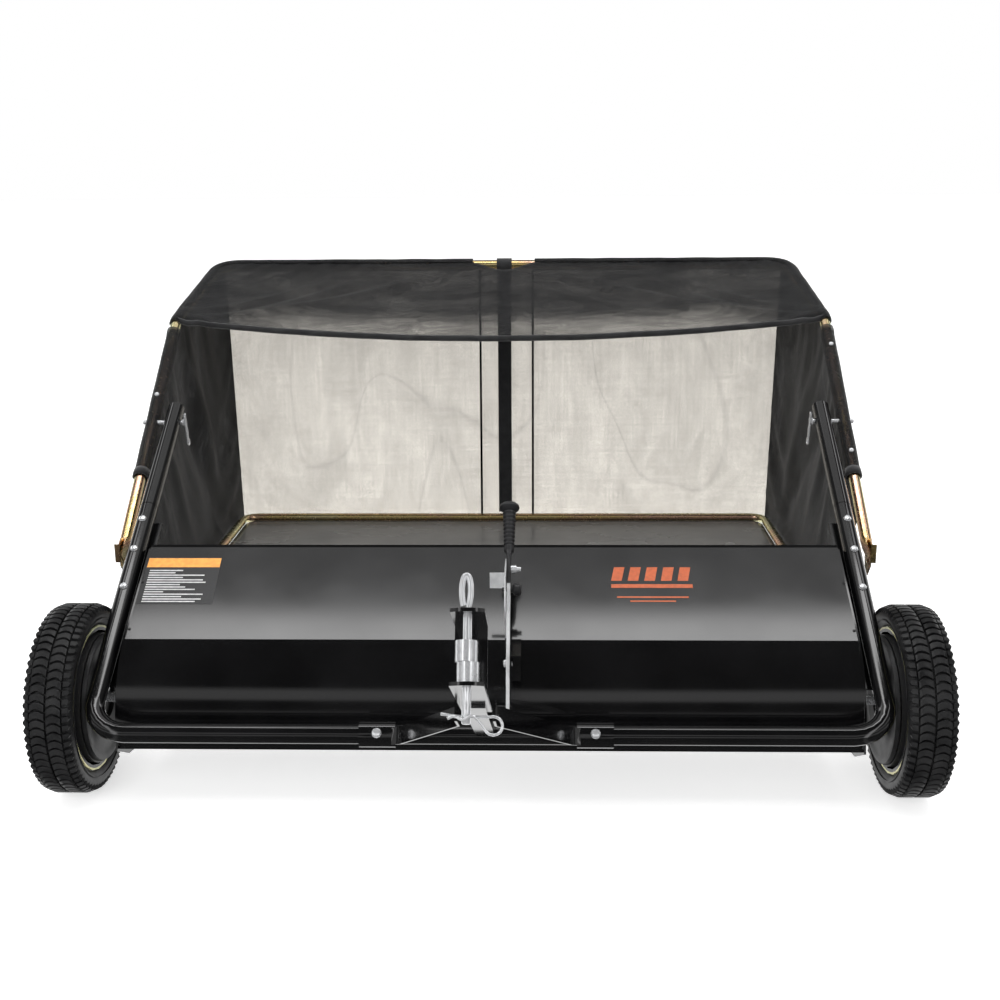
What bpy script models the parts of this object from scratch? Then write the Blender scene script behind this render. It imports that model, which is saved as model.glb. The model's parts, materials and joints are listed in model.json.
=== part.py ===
"""A tow-behind lawn sweeper.

X is the width, Y runs from the hitch to the back of the hopper and Z is up. The ground is Z = 0, and the
origin lies on it below the middle of the whole machine. Everything is placed from the wheel axle, which
the "machine" empty puts AXLE_Y from the origin.
"""

import math

import bmesh
import bpy
from mathutils import Vector

GAP = 0.0003
AXLE_Y = -0.12620

# Wheels
WHEEL_R = 0.145
WHEEL_X = 0.6356
TYRE_HALF = 0.035
BEAD_R = 0.106
FLANGE_R = 0.1115
AXLE_R = 0.008
DRUM_R = 0.100
RIM_HALF = 0.0295
FLANGE_THICK = 0.003
RIM_THICK = 0.002
HUB_R = 0.016
WHEEL_STEPS = 28

# Brush drive
MODULE = 0.004
RING_TEETH = 45
PINION_TEETH = 9
BRUSH_ANGLE = math.radians(12)
BRUSH_R = 0.112
BRUSH_HALF = 0.535
CORE_R = 0.019
BRISTLE_HALF = 0.006
SHAFT_END = 0.624
BUSH_R = 0.0122
BUSH_BORE = 0.0083
TOOTH_OUT = 0.0022
TOOTH_IN = 0.0034
TOOTH_ROOT_HALF = 0.0036
TOOTH_TIP_HALF = 0.0014
RING_INNER_X = 0.600
RING_DEPTH = 0.0315
RING_WEB_X = 0.631
PINION_X = 0.612
PINION_WIDTH = 0.020
GEAR_CENTRES = MODULE * (RING_TEETH - PINION_TEETH) / 2
BRUSH_Y = GEAR_CENTRES * math.cos(BRUSH_ANGLE)
BRUSH_Z = WHEEL_R + GEAR_CENTRES * math.sin(BRUSH_ANGLE)

# Hood
HOOD_HALF = 0.55
SHEET = 0.0016
PANEL_REAR = (0.140, 0.3435)
PANEL_CREASE = (-0.020, 0.248)
FRONT_R = 0.175
FRONT_START = math.radians(127)
FRONT_END = math.radians(176)
SIDE_PLATE = 0.003
FLANGE_START = 0.090
FLANGE_END = 0.415
LIP_FOLD = ((0.0022, -0.009), (0.0030, -0.0205), (0.014, -0.0225))
REAR_FOLD = ((0.008, -0.010), (0.007, 0.002))

# Draw frame: a U of tube in one sloping plane, with arm tubes sleeved on its legs
TUBE_R = 0.0143
TUBE_WALL = 0.0016
RAIL_Y = -0.143
RAIL_Z = 0.152
FRAME_SLOPE = math.radians(32.5)
LEG_X = 0.575
FRAME_BEND = 0.055
LEG_END = 0.436
SPIGOT_END = 0.49
ARM_END = 0.679
LEG_BOLTS = (0.2585, 0.3355, 0.400)
BOLT_R = 0.003
BOLT_HEAD_R = 0.0062

# Tongue, in its own sloping frame with the hitch towards -Y
TONGUE_SLOPE = math.radians(30.5)
HITCH_FRONT = 0.5507
HITCH_BACK = 0.30
THROAT_DEPTH = 0.092
THROAT_HEIGHT = 0.072
HITCH_WIDTH = 0.036
PLATE = 0.004
PIN_F = 0.5385
PIN_R = 0.0048
PIN_FOOT = 0.038
CLIP_FOOT = -0.030
LOOP_HALF = 0.0042
LOOP_TALL = 0.028
CLIP_WIRE = 0.0015
CLIP_RING = 0.0085
LOOP_WIRE = 0.62
STRAP_HEIGHT = 0.0246
STRAP_DROP = 0.0035
STRAP_THICK = 0.004
STRAP_MEET_F = 0.29
STRAP_MEET_X = 0.0225
SADDLE_X = 0.155
SADDLE_HALF = 0.026
SPACER_R = 0.01175
SPACER_BORE = 0.0075
SPACERS = (0.0205, 0.0220)
TONGUE_HALF = 0.013
RAIL_SLOT_HALF = 0.0036

# Height lever, in its own frame with the bar along +Z
LEVER_Y = -0.100
LEVER_Z = 0.243
LEVER_X = 0.0305
LEVER_TILT = math.radians(43.3)
LEVER_THICK = 0.005
LEVER_TOP = 0.262
LEVER_HALF = 0.0085
LEVER_BAR_END = 0.175
LEVER_PIN_R = 0.004
FORK_HALF = 0.0037
FORK_WALL = 0.005
FORK_DEPTH = 0.0065
FORK_REACH = 0.007
TANG_HALF = 0.006
TANG_END = 0.250
GRIP_LOW = 0.178
GRIP_R = 0.0095
GRIP_HEAD_R = 0.0155
EAR_ARM = 0.0386
STUB_R = 0.003
LOCK_R = 0.117
LOCK_PIN_R = 0.003
SLOT_HALF = 0.0036
SLOT_SWING = math.radians(12)
INDEX_R = 0.172
INDEX_TOP = 0.362
INDEX_THICK = 0.002
INDEX_BASE = (-0.018, 0.062)
BRACKET_FRONT = -0.118
BRACKET_TOP = 0.262
BRACKET_LOW = 0.224
BRACKET_WIDTH = 0.015

# Hopper
PIVOT_Y = 0.404
PIVOT_Z = 0.4955
PIVOT_PIN_R = 0.004
HOPPER_X = 0.613
HOPPER_REAR_X = 0.588
UPPER_R = 0.0095
LOWER_R = 0.0085
SIDE_LOW = (0.208, 0.335)
SIDE_CORNER = (0.606, 0.651)
TOP_REAR = (0.870, 0.733)
FLOOR_X = 0.560
FLOOR_Z = 0.196
FLOOR_REAR = 0.8425
FLOOR_FRONT = 0.250
FLOOR_DROP = 0.005
FABRIC = 0.003
HEM_SAG = 0.040
CORNER_CUT = 0.024

BLACK_PAINT = ((0.012, 0.012, 0.013), 0.25, 0.0)
ZINC = ((0.75, 0.76, 0.78), 0.28, 1.0)
YELLOW_ZINC = ((0.72, 0.58, 0.28), 0.30, 1.0)
RUBBER = ((0.03, 0.03, 0.03), 0.75, 0.0)
BLACK_PLASTIC = ((0.02, 0.02, 0.02), 0.5, 0.0)
BRISTLE = ((0.03, 0.03, 0.03), 0.8, 0.0)
BLACK_FABRIC = ((0.02, 0.02, 0.02), 0.9, 0.0)
PALE_MESH = ((0.62, 0.60, 0.57), 0.9, 0.0)
FLOOR_SHEET = ((0.06, 0.06, 0.06), 0.6, 0.0)

RIGHT_ANGLE = math.pi / 2
FACING_X = (RIGHT_ANGLE, 0, RIGHT_ANGLE)
SIDES = (("left", -1), ("right", 1))


def new_collection(name, hidden=False):
    collection = bpy.data.collections.new(name)
    collection.hide_render = hidden
    bpy.context.scene.collection.children.link(collection)
    return collection


def clear_scene():
    for obj in list(bpy.data.objects):
        bpy.data.objects.remove(obj, do_unlink=True)


clear_scene()
PARTS = new_collection("lawn_sweeper")
CUTTERS = new_collection("cutters", hidden=True)


def joint_frame(name, parent, location, rotation=(0, 0, 0)):
    """An empty on a joint's axis, which carries the pieces that turn or slide there."""
    empty = bpy.data.objects.new(name, None)
    empty.parent = parent
    empty.location = location
    empty.rotation_euler = rotation
    PARTS.objects.link(empty)
    return empty


def place(obj, parent, location=(0, 0, 0), rotation=(0, 0, 0), collection=PARTS):
    obj.parent = parent
    obj.location = location
    obj.rotation_euler = rotation
    collection.objects.link(obj)
    return obj


def paint(obj, look):
    """Gives the object its own Principled material from (colour, roughness, metallic)."""
    material = bpy.data.materials.new(obj.name)
    material.use_nodes = True
    shader = material.node_tree.nodes["Principled BSDF"]
    shader.inputs["Base Color"].default_value = (*look[0], 1)
    shader.inputs["Roughness"].default_value = look[1]
    shader.inputs["Metallic"].default_value = look[2]
    obj.data.materials.clear()
    obj.data.materials.append(material)
    return obj


def smooth(obj):
    obj.data.shade_smooth()
    obj.data.set_sharp_from_angle(angle=math.radians(35))
    return obj


# Shapes


def mesh_object(name, bm):
    bmesh.ops.recalc_face_normals(bm, faces=bm.faces)
    mesh = bpy.data.meshes.new(name)
    bm.to_mesh(mesh)
    bm.free()
    return bpy.data.objects.new(name, mesh)


def box(name, low, high):
    bm = bmesh.new()
    bmesh.ops.create_cube(bm, size=1)
    for vert in bm.verts:
        vert.co = [l + (h - l) * (c + 0.5) for l, h, c in zip(low, high, vert.co)]
    return mesh_object(name, bm)


def cylinder(name, radius, length, steps=16):
    """A cylinder along Z, centred on the origin."""
    bm = bmesh.new()
    bmesh.ops.create_cone(
        bm, cap_ends=True, segments=steps, radius1=radius, radius2=radius, depth=length
    )
    return mesh_object(name, bm)


def turned(name, profile, steps=24, closed=False):
    """A profile of (radius, height) points turned about Z. It runs from the top down its outer side."""
    bm = bmesh.new()
    verts = [bm.verts.new((r, 0, h)) for r, h in profile]
    for a, b in zip(verts, verts[1:]):
        bm.edges.new((a, b))
    if closed:
        bm.edges.new((verts[-1], verts[0]))
    mesh = bpy.data.meshes.new(name)
    bm.to_mesh(mesh)
    bm.free()
    obj = bpy.data.objects.new(name, mesh)
    screw = obj.modifiers.new("turn", "SCREW")
    screw.steps = steps
    screw.render_steps = steps
    screw.use_merge_vertices = True
    screw.merge_threshold = 0.00005
    screw.use_smooth_shade = True
    return obj


def sheet(name, loops, thickness):
    """A flat outline with optional holes, extruded evenly to both sides of its plane."""
    curve = bpy.data.curves.new(name, "CURVE")
    curve.dimensions = "2D"
    curve.fill_mode = "BOTH"
    curve.extrude = thickness / 2
    for loop in loops:
        spline = curve.splines.new("POLY")
        spline.points.add(len(loop) - 1)
        for point, (x, y) in zip(spline.points, loop):
            point.co = (x, y, 0, 1)
        spline.use_cyclic_u = True
    return bpy.data.objects.new(name, curve)


def rounded(points, radius, steps=5):
    """A path through the points with each corner bent to the radius."""
    points = [Vector(p) for p in points]
    path = [points[0]]
    for before, corner, after in zip(points, points[1:], points[2:]):
        back = (before - corner).normalized()
        ahead = (after - corner).normalized()
        half = back.angle(ahead) / 2
        reach = radius / math.tan(half)
        centre = corner + (back + ahead).normalized() * radius / math.sin(half)
        start = corner + back * reach - centre
        end = corner + ahead * reach - centre
        for i in range(steps + 1):
            path.append(centre + start.slerp(end, i / steps) * radius)
    path.append(points[-1])
    return path


def tube(name, points, radius, wall=None, sides=16, radii=None, closed=False):
    """A round bar along the points, or an open tube if it has a wall."""
    curve = bpy.data.curves.new(name, "CURVE")
    curve.dimensions = "3D"
    curve.bevel_depth = radius
    curve.bevel_resolution = (sides - 4) // 2
    curve.use_fill_caps = wall is None and not closed
    spline = curve.splines.new("POLY")
    spline.points.add(len(points) - 1)
    for i, point in enumerate(points):
        spline.points[i].co = (*point, 1)
        if radii:
            spline.points[i].radius = radii[i]
    spline.use_cyclic_u = closed
    spline.use_smooth = True
    obj = bpy.data.objects.new(name, curve)
    if wall:
        thick = obj.modifiers.new("wall", "SOLIDIFY")
        thick.thickness = wall
        thick.offset = -1
    return obj


def loft(name, rows, thickness):
    """A sheet through rows of points, given a thickness evenly to both sides."""
    bm = bmesh.new()
    grid = [[bm.verts.new(p) for p in row] for row in rows]
    for low, high in zip(grid, grid[1:]):
        for i in range(len(low) - 1):
            bm.faces.new((low[i], low[i + 1], high[i + 1], high[i]))
    obj = mesh_object(name, bm)
    thick = obj.modifiers.new("thickness", "SOLIDIFY")
    thick.thickness = thickness
    thick.offset = 0
    obj.data.shade_smooth()
    return obj


def as_mesh(obj):
    """The object with its modifiers applied, as a mesh in the same place, with its seams welded."""
    bpy.context.view_layer.update()
    graph = bpy.context.evaluated_depsgraph_get()
    mesh = bpy.data.meshes.new_from_object(obj.evaluated_get(graph))
    bm = bmesh.new()
    bm.from_mesh(mesh)
    bmesh.ops.remove_doubles(bm, verts=bm.verts, dist=0.000005)
    bmesh.ops.recalc_face_normals(bm, faces=bm.faces)
    bm.to_mesh(mesh)
    bm.free()
    name = obj.name
    made = bpy.data.objects.new(name + "_mesh", mesh)
    collection = obj.users_collection[0]
    collection.objects.link(made)
    made.parent = obj.parent
    made.matrix_world = obj.matrix_world
    bpy.data.objects.remove(obj, do_unlink=True)
    made.name = name
    mesh.name = name
    return made


def cut(obj, cutter, operation="DIFFERENCE"):
    """Cuts or joins the cutter, which is already placed in the cutters' collection."""
    cutter.hide_render = True
    cutter.display_type = "WIRE"
    boolean = obj.modifiers.new(cutter.name, "BOOLEAN")
    boolean.operation = operation
    boolean.object = cutter
    return obj


def helper(obj, parent, location=(0, 0, 0), rotation=(0, 0, 0)):
    return place(obj, parent, location, rotation, CUTTERS)


def circle(radius, steps=20, centre=(0, 0)):
    turn = [2 * math.pi * i / steps for i in range(steps)]
    return [(centre[0] + radius * math.cos(a), centre[1] + radius * math.sin(a)) for a in turn]


def gear_outline(teeth, root, tip, phase):
    """A ring of straight-sided teeth. The half widths are distances from a tooth's middle line."""
    corners = [(root, -TOOTH_ROOT_HALF), (tip, -TOOTH_TIP_HALF)]
    corners += [(tip, TOOTH_TIP_HALF), (root, TOOTH_ROOT_HALF)]
    outline = []
    for i in range(teeth):
        middle = phase + 2 * math.pi * i / teeth
        for radius, half in corners:
            angle = middle + half / radius
            outline.append((radius * math.cos(angle), radius * math.sin(angle)))
    return outline


def bolt_profile(head_r, head_h, shank_r, length):
    """A domed head above Z = 0 and a shank below it."""
    return [
        (0, head_h),
        (head_r * 0.75, head_h * 0.75),
        (head_r, 0),
        (shank_r, 0),
        (shank_r, -length),
        (0, -length),
    ]


# Hood and side plates


def front_arc(offset=0.0, steps=9):
    """The rolled front, from the crease down to the lip."""
    first = FRONT_START
    centre_y = PANEL_CREASE[0] - FRONT_R * math.cos(first)
    centre_z = PANEL_CREASE[1] - FRONT_R * math.sin(first)
    radius = FRONT_R - offset
    points = []
    for i in range(steps + 1):
        angle = first + (FRONT_END - first) * i / steps
        points.append((centre_y + radius * math.cos(angle), centre_z + radius * math.sin(angle)))
    return points


def hood_profile():
    """(Y, Z) from the folded rear lip over the panel and down the front to the bottom lip."""
    front = front_arc()
    lip_y, lip_z = front[-1]
    lip = [(lip_y + y, lip_z + z) for y, z in LIP_FOLD]
    rear = [(PANEL_REAR[0] + y, PANEL_REAR[1] + z) for y, z in REAR_FOLD]
    return [*rear, PANEL_REAR, *front, *lip]


def make_hood(machine):
    rows = []
    for x in (-HOOD_HALF, 0, HOOD_HALF):
        rows.append([(x, y, z) for y, z in hood_profile()])
    hood = loft("hood_shell", rows, SHEET)
    place(hood, machine)
    paint(hood, BLACK_PAINT)


def side_outline():
    """(Y, Z) of a side plate: it follows the hood and the leg, and reaches below the axle."""
    return [
        (PANEL_REAR[0], PANEL_REAR[1] - 0.002),
        *front_arc(),
        (-0.095, 0.100),
        (-0.045, 0.072),
        (0.060, 0.052),
        (0.150, 0.075),
        (0.168, 0.120),
        (0.172, 0.300),
        (0.160, 0.335),
    ]


def make_side_plates(machine, frame):
    for side, s in SIDES:
        name = "side_plate_" + side
        x = s * (HOOD_HALF + GAP + SIDE_PLATE / 2)
        loops = [
            side_outline(),
            circle(AXLE_R + GAP, 16, (0, WHEEL_R)),
            circle(BUSH_R + GAP, 20, (BRUSH_Y, BRUSH_Z)),
        ]
        plate = place(sheet(name, loops, SIDE_PLATE), machine, (x, 0, 0), FACING_X)
        plate = as_mesh(plate)
        low = (x, FLANGE_START, -TUBE_R - GAP - SIDE_PLATE)
        high = (s * (LEG_X + 0.012), FLANGE_END, -TUBE_R - GAP)
        flange = box(name + "_flange", *sorted_box(low, high))
        helper(flange, frame)
        cut(plate, flange, "UNION")
        for i, reach in enumerate(LEG_BOLTS):
            hole = cylinder(f"{name}_hole_{i}", BOLT_R + GAP, 0.02, 12)
            helper(hole, frame, (s * LEG_X, reach, -TUBE_R))
            cut(plate, hole)
        paint(plate, BLACK_PAINT)


def sorted_box(a, b):
    return [min(p) for p in zip(a, b)], [max(p) for p in zip(a, b)]


# Draw frame


def make_draw_frame(frame, tongue):
    legs = [(-LEG_X, LEG_END, 0), (-LEG_X, 0, 0), (LEG_X, 0, 0), (LEG_X, LEG_END, 0)]
    path = rounded(legs, FRAME_BEND, 6)
    spigot = (TUBE_R - TUBE_WALL - 2 * GAP) / TUBE_R
    path = [Vector((-LEG_X, SPIGOT_END, 0)), Vector((-LEG_X, LEG_END + 0.001, 0)), *path]
    path = [*path, Vector((LEG_X, LEG_END + 0.001, 0)), Vector((LEG_X, SPIGOT_END, 0))]
    radii = [spigot, spigot] + [1] * (len(path) - 4) + [spigot, spigot]
    draw = place(tube("draw_frame", path, TUBE_R, None, 16, radii), frame)
    draw = as_mesh(draw)
    for side, s in SIDES:
        for i, reach in enumerate(LEG_BOLTS):
            hole = cylinder(f"leg_hole_{side}_{i}", BOLT_R + GAP, 0.05, 12)
            helper(hole, frame, (s * LEG_X, reach, 0))
            cut(draw, hole)
        half = RAIL_SLOT_HALF
        slot = box("rail_slot_" + side, (-half, -0.03, -0.008), (half, -0.008, 0.008))
        helper(slot, tongue, (s * SADDLE_X, 0, 0))
        cut(draw, slot)
    paint(draw, BLACK_PAINT)
    smooth(draw)
    for side, s in SIDES:
        for i, reach in enumerate(LEG_BOLTS):
            bolt = turned(f"frame_bolt_{side}_{i + 1}", bolt_profile(BOLT_HEAD_R, 0.004, BOLT_R, 0.036), 12)
            place(bolt, frame, (s * LEG_X, reach, TUBE_R + GAP))
            paint(bolt, ZINC)


def make_arms(machine, frame):
    """Arm tubes over the legs' spigots, drilled for the hopper's pins."""
    for side, s in SIDES:
        name = "arm_tube_" + side
        path = [(s * LEG_X, LEG_END + 0.0013, 0), (s * LEG_X, ARM_END, 0)]
        arm = place(tube(name, path, TUBE_R, TUBE_WALL, 16), frame)
        arm = as_mesh(arm)
        hole = cylinder(name + "_pin_hole", PIVOT_PIN_R + GAP, 0.06, 14)
        helper(hole, machine, (s * LEG_X, PIVOT_Y, PIVOT_Z), (0, RIGHT_ANGLE, 0))
        cut(arm, hole)
        paint(arm, BLACK_PAINT)
        smooth(arm)
        head = LEG_X - TUBE_R - 0.003
        length = HOPPER_X + UPPER_R + 0.006 - head
        pin = turned("hopper_pin_" + side, bolt_profile(0.0065, 0.0025, PIVOT_PIN_R, length), 14)
        place(pin, machine, (s * head, PIVOT_Y, PIVOT_Z), (0, -s * RIGHT_ANGLE, 0))
        paint(pin, ZINC)


# Wheels and drive


def tyre_profile():
    tread = TYRE_HALF - 0.011
    return [
        (BEAD_R + GAP, 0.0262),
        (0.1122, 0.0262),
        (0.115, 0.0300),
        (0.128, TYRE_HALF),
        (WHEEL_R - 0.007, TYRE_HALF - 0.002),
        (WHEEL_R, tread),
        (WHEEL_R, -tread),
        (WHEEL_R - 0.007, -TYRE_HALF + 0.002),
        (0.128, -TYRE_HALF),
        (0.115, -0.0300),
        (0.1122, -0.0262),
        (BEAD_R + GAP, -0.0262),
    ]


def rim_profile():
    """The rim's section, from the outer lip over the well, in to the disc and hub, and back out."""
    bore = AXLE_R + GAP
    seat = RIM_HALF - FLANGE_THICK
    inner = BEAD_R - RIM_THICK
    hub = 0.029
    return [
        (FLANGE_R, RIM_HALF),
        (FLANGE_R, seat),
        (BEAD_R, seat),
        (BEAD_R, -seat),
        (FLANGE_R, -seat),
        (FLANGE_R, -RIM_HALF),
        (inner, -RIM_HALF),
        (inner, -0.001),
        (HUB_R, -0.001),
        (HUB_R, -hub),
        (bore, -hub),
        (bore, hub),
        (HUB_R, hub),
        (HUB_R, 0.0015),
        (inner, 0.0015),
        (inner, RIM_HALF),
    ]


def make_wheel(side, s, wheel):
    """Local Z of each piece points out of the machine."""
    out = (0, s * RIGHT_ANGLE, 0)
    flat = math.cos(math.pi / WHEEL_STEPS)
    profile = [(r / flat, h) for r, h in tyre_profile()]
    tyre = turned("tyre_" + side, profile, WHEEL_STEPS, closed=True)
    tyre.rotation_mode = "ZYX"
    place(tyre, wheel, (0, 0, 0), (0, s * RIGHT_ANGLE, math.pi / WHEEL_STEPS))
    paint(tyre, RUBBER)
    rim = place(turned("wheel_rim_" + side, rim_profile(), 24, closed=True), wheel, (0, 0, 0), out)
    paint(rim, YELLOW_ZINC)
    pitch = MODULE * RING_TEETH / 2
    space = BRUSH_ANGLE + math.pi / RING_TEETH
    teeth = gear_outline(RING_TEETH, pitch + TOOTH_IN, pitch - TOOTH_OUT, space)
    drum_x = s * (RING_INNER_X + RING_DEPTH / 2 - WHEEL_X)
    name = "ring_gear_" + side
    gear = sheet(name, [circle(DRUM_R, WHEEL_STEPS), teeth], RING_DEPTH)
    gear = as_mesh(place(gear, wheel, (drum_x, 0, 0), FACING_X))
    lip = DRUM_R + 0.0012
    hole = HUB_R + 0.002
    web = [(lip, 0.0022), (lip, 0), (hole, 0), (hole, 0.0022)]
    web = turned(name + "_web", web, WHEEL_STEPS, True)
    helper(web, wheel, (s * (RING_WEB_X - WHEEL_X), 0, 0), out)
    cut(gear, web, "UNION")
    paint(gear, BLACK_PLASTIC)
    smooth(gear)


def make_axles(machine):
    for side, s in SIDES:
        inner = HOOD_HALF - 0.004
        flange = HOOD_HALF + SIDE_PLATE + 2 * GAP
        end = WHEEL_X + 0.034
        profile = [
            (0, end - inner),
            (AXLE_R - 0.001, end - inner),
            (AXLE_R, end - inner - 0.001),
            (AXLE_R, flange + 0.006 - inner),
            (0.014, flange + 0.006 - inner),
            (0.014, flange - inner),
            (AXLE_R, flange - inner),
            (AXLE_R, 0),
            (0, 0),
        ]
        axle = turned("axle_" + side, profile, 20)
        place(axle, machine, (s * inner, 0, WHEEL_R), (0, s * RIGHT_ANGLE, 0))
        paint(axle, ZINC)
        bush = [
            (0.016, 0.0075),
            (0.016, 0.0021),
            (BUSH_R, 0.0021),
            (BUSH_R, -0.006),
            (BUSH_BORE, -0.006),
            (BUSH_BORE, 0.0075),
        ]
        bearing = turned("brush_bearing_" + side, bush, 20, closed=True)
        middle = HOOD_HALF + GAP + SIDE_PLATE / 2
        place(bearing, machine, (s * middle, BRUSH_Y, BRUSH_Z), (0, s * RIGHT_ANGLE, 0))
        paint(bearing, BLACK_PLASTIC)


def make_brush(brush):
    half = BRUSH_HALF
    profile = [
        (0, SHAFT_END),
        (AXLE_R, SHAFT_END),
        (AXLE_R, half),
        (CORE_R, half),
        (CORE_R, -half),
        (AXLE_R, -half),
        (AXLE_R, -SHAFT_END),
        (0, -SHAFT_END),
    ]
    shaft = place(turned("brush_shaft", profile, 16), brush, (0, 0, 0), (0, RIGHT_ANGLE, 0))
    paint(shaft, ZINC)
    for i in range(4):
        low = (-half + 0.003, -BRISTLE_HALF, CORE_R + 0.001)
        high = (half - 0.003, BRISTLE_HALF, BRUSH_R)
        strip = box(f"brush_strip_{i + 1}", low, high)
        place(strip, brush, (0, 0, 0), (RIGHT_ANGLE * (i + 0.5), 0, 0))
        paint(strip, BRISTLE)


def make_pinion(side, pinion):
    pitch = MODULE * PINION_TEETH / 2
    outline = gear_outline(PINION_TEETH, pitch - TOOTH_IN, pitch + TOOTH_OUT, BRUSH_ANGLE)
    loops = [outline, circle(AXLE_R + GAP, 16)]
    gear = sheet("pinion_" + side, loops, PINION_WIDTH)
    place(gear, pinion, (0, 0, 0), FACING_X)
    paint(gear, ZINC)


# Tongue and hitch


def make_straps(tongue):
    """Flat bars on edge from saddles round the rail to the hitch bracket."""
    for side, s in SIDES:
        name = "hitch_strap_" + side
        inner = TUBE_R + GAP
        outer = inner + STRAP_THICK
        ring = [(outer, SADDLE_HALF), (outer, -SADDLE_HALF), (inner, -SADDLE_HALF), (inner, SADDLE_HALF)]
        saddle = turned(name, ring, 24, closed=True)
        place(saddle, tongue, (s * SADDLE_X, 0, 0), (0, RIGHT_ANGLE, 0))
        saddle = as_mesh(saddle)
        start = Vector((s * (SADDLE_X - SADDLE_HALF + 0.004), -inner - STRAP_THICK / 2, 0))
        elbow = Vector((s * (SADDLE_X - SADDLE_HALF - 0.008), -inner - 0.006, 0))
        meet = Vector((s * STRAP_MEET_X, -STRAP_MEET_F, 0))
        end = Vector((s * STRAP_MEET_X, -STRAP_MEET_F - 0.060, 0))
        run = rounded([start, elbow, meet, end], 0.012, 3)
        rows = []
        for level in (-STRAP_HEIGHT / 2, STRAP_HEIGHT / 2):
            rows.append([(p.x, p.y, level - STRAP_DROP) for p in run])
        bar = loft(name + "_bar", rows, STRAP_THICK - 0.001)
        helper(bar, tongue)
        cut(saddle, bar, "UNION")
        hole = cylinder(name + "_hole", BOLT_R + GAP, 0.02, 12)
        helper(hole, tongue, (s * SADDLE_X, -outer, 0), (RIGHT_ANGLE, 0, 0))
        cut(saddle, hole)
        paint(saddle, BLACK_PAINT)
        bolt = turned("strap_bolt_" + side, bolt_profile(0.0072, 0.0045, BOLT_R, 0.0055), 14)
        place(bolt, tongue, (s * SADDLE_X, -outer - GAP, 0), (RIGHT_ANGLE, 0, 0))
        paint(bolt, ZINC)


def make_tongue_bar(tongue):
    """The centre bar from the rail to the bracket, with a stop pad on the rail and the lever's ear."""
    half = TONGUE_HALF
    rail = TUBE_R + GAP
    bar = box("tongue_bar", (-half, -HITCH_BACK - 0.080, -PLATE), (half, -rail - 0.004, 0))
    place(bar, tongue)
    to_lever = Vector((LEVER_Y - RAIL_Y, LEVER_Z - RAIL_Z)).normalized()
    turn = -TONGUE_SLOPE
    ear_y = EAR_ARM * (to_lever.x * math.cos(turn) + to_lever.y * math.sin(turn))
    ear_z = EAR_ARM * (to_lever.y * math.cos(turn) - to_lever.x * math.sin(turn))
    outline = [
        (-0.060, -0.003),
        (-rail - 0.006, -0.003),
        (-rail - 0.006, 0.012),
        (ear_y + 0.006, ear_z - 0.010),
        (ear_y + 0.007, ear_z + 0.004),
        (ear_y - 0.004, ear_z + 0.007),
        (-0.040, 0.020),
    ]
    ear = sheet("tongue_ear", [outline], 0.004)
    ear = as_mesh(helper(ear, tongue, (half - 0.002, 0, 0), FACING_X))
    cut(bar, ear, "UNION")
    length = LEVER_X + 0.006 - half
    stub = cylinder("tongue_stub", STUB_R, length + 0.002, 12)
    helper(stub, tongue, (half + length / 2 - 0.001, ear_y, ear_z), (0, RIGHT_ANGLE, 0))
    cut(bar, stub, "UNION")
    paint(bar, BLACK_PAINT)


def tab_outline(back, holes_at):
    """A tab with a rounded front, seen from above, and the pin's hole."""
    half = HITCH_WIDTH / 2
    front = []
    for i in range(9):
        angle = math.radians(-35 + 70 * i / 8)
        bow = half / math.sin(math.radians(35))
        front.append((bow * math.sin(angle), -HITCH_FRONT + bow - bow * math.cos(angle)))
    outline = [(-half, -back), *front, (half, -back)]
    return [outline, circle(PIN_R + 0.0004, 16, (0, -holes_at))]


def make_hitch_bracket(tongue):
    """A C of plate: a long lower tab, an upright and a short upper tab, open to the front."""
    half = HITCH_WIDTH / 2
    back = HITCH_FRONT - THROAT_DEPTH
    lower = sheet("hitch_bracket", tab_outline(HITCH_BACK, PIN_F), PLATE)
    bracket = as_mesh(place(lower, tongue, (0, 0, GAP + PLATE / 2)))
    top_z = GAP + PLATE + THROAT_HEIGHT + PLATE / 2
    upper = sheet("hitch_upper_tab", tab_outline(back, PIN_F), PLATE)
    cut(bracket, as_mesh(helper(upper, tongue, (0, 0, top_z))), "UNION")
    low = (-half, -back - 0.0005, GAP + PLATE / 2)
    high = (half, -back + PLATE, top_z + PLATE / 2)
    cut(bracket, helper(box("hitch_upright", low, high), tongue), "UNION")
    paint(bracket, BLACK_PAINT)


def make_spacers(tongue):
    base = GAP + PLATE + GAP
    names = ("hitch_spacer_lower", "hitch_spacer_upper")
    for name, height, shift in zip(names, SPACERS, (0.0010, -0.0008)):
        ring = [(SPACER_R, height), (SPACER_R, 0), (SPACER_BORE, 0), (SPACER_BORE, height)]
        spacer = turned(name, ring, 24, closed=True)
        place(spacer, tongue, (shift, -PIN_F, base))
        paint(spacer, ZINC)
        base += height + GAP


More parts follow.
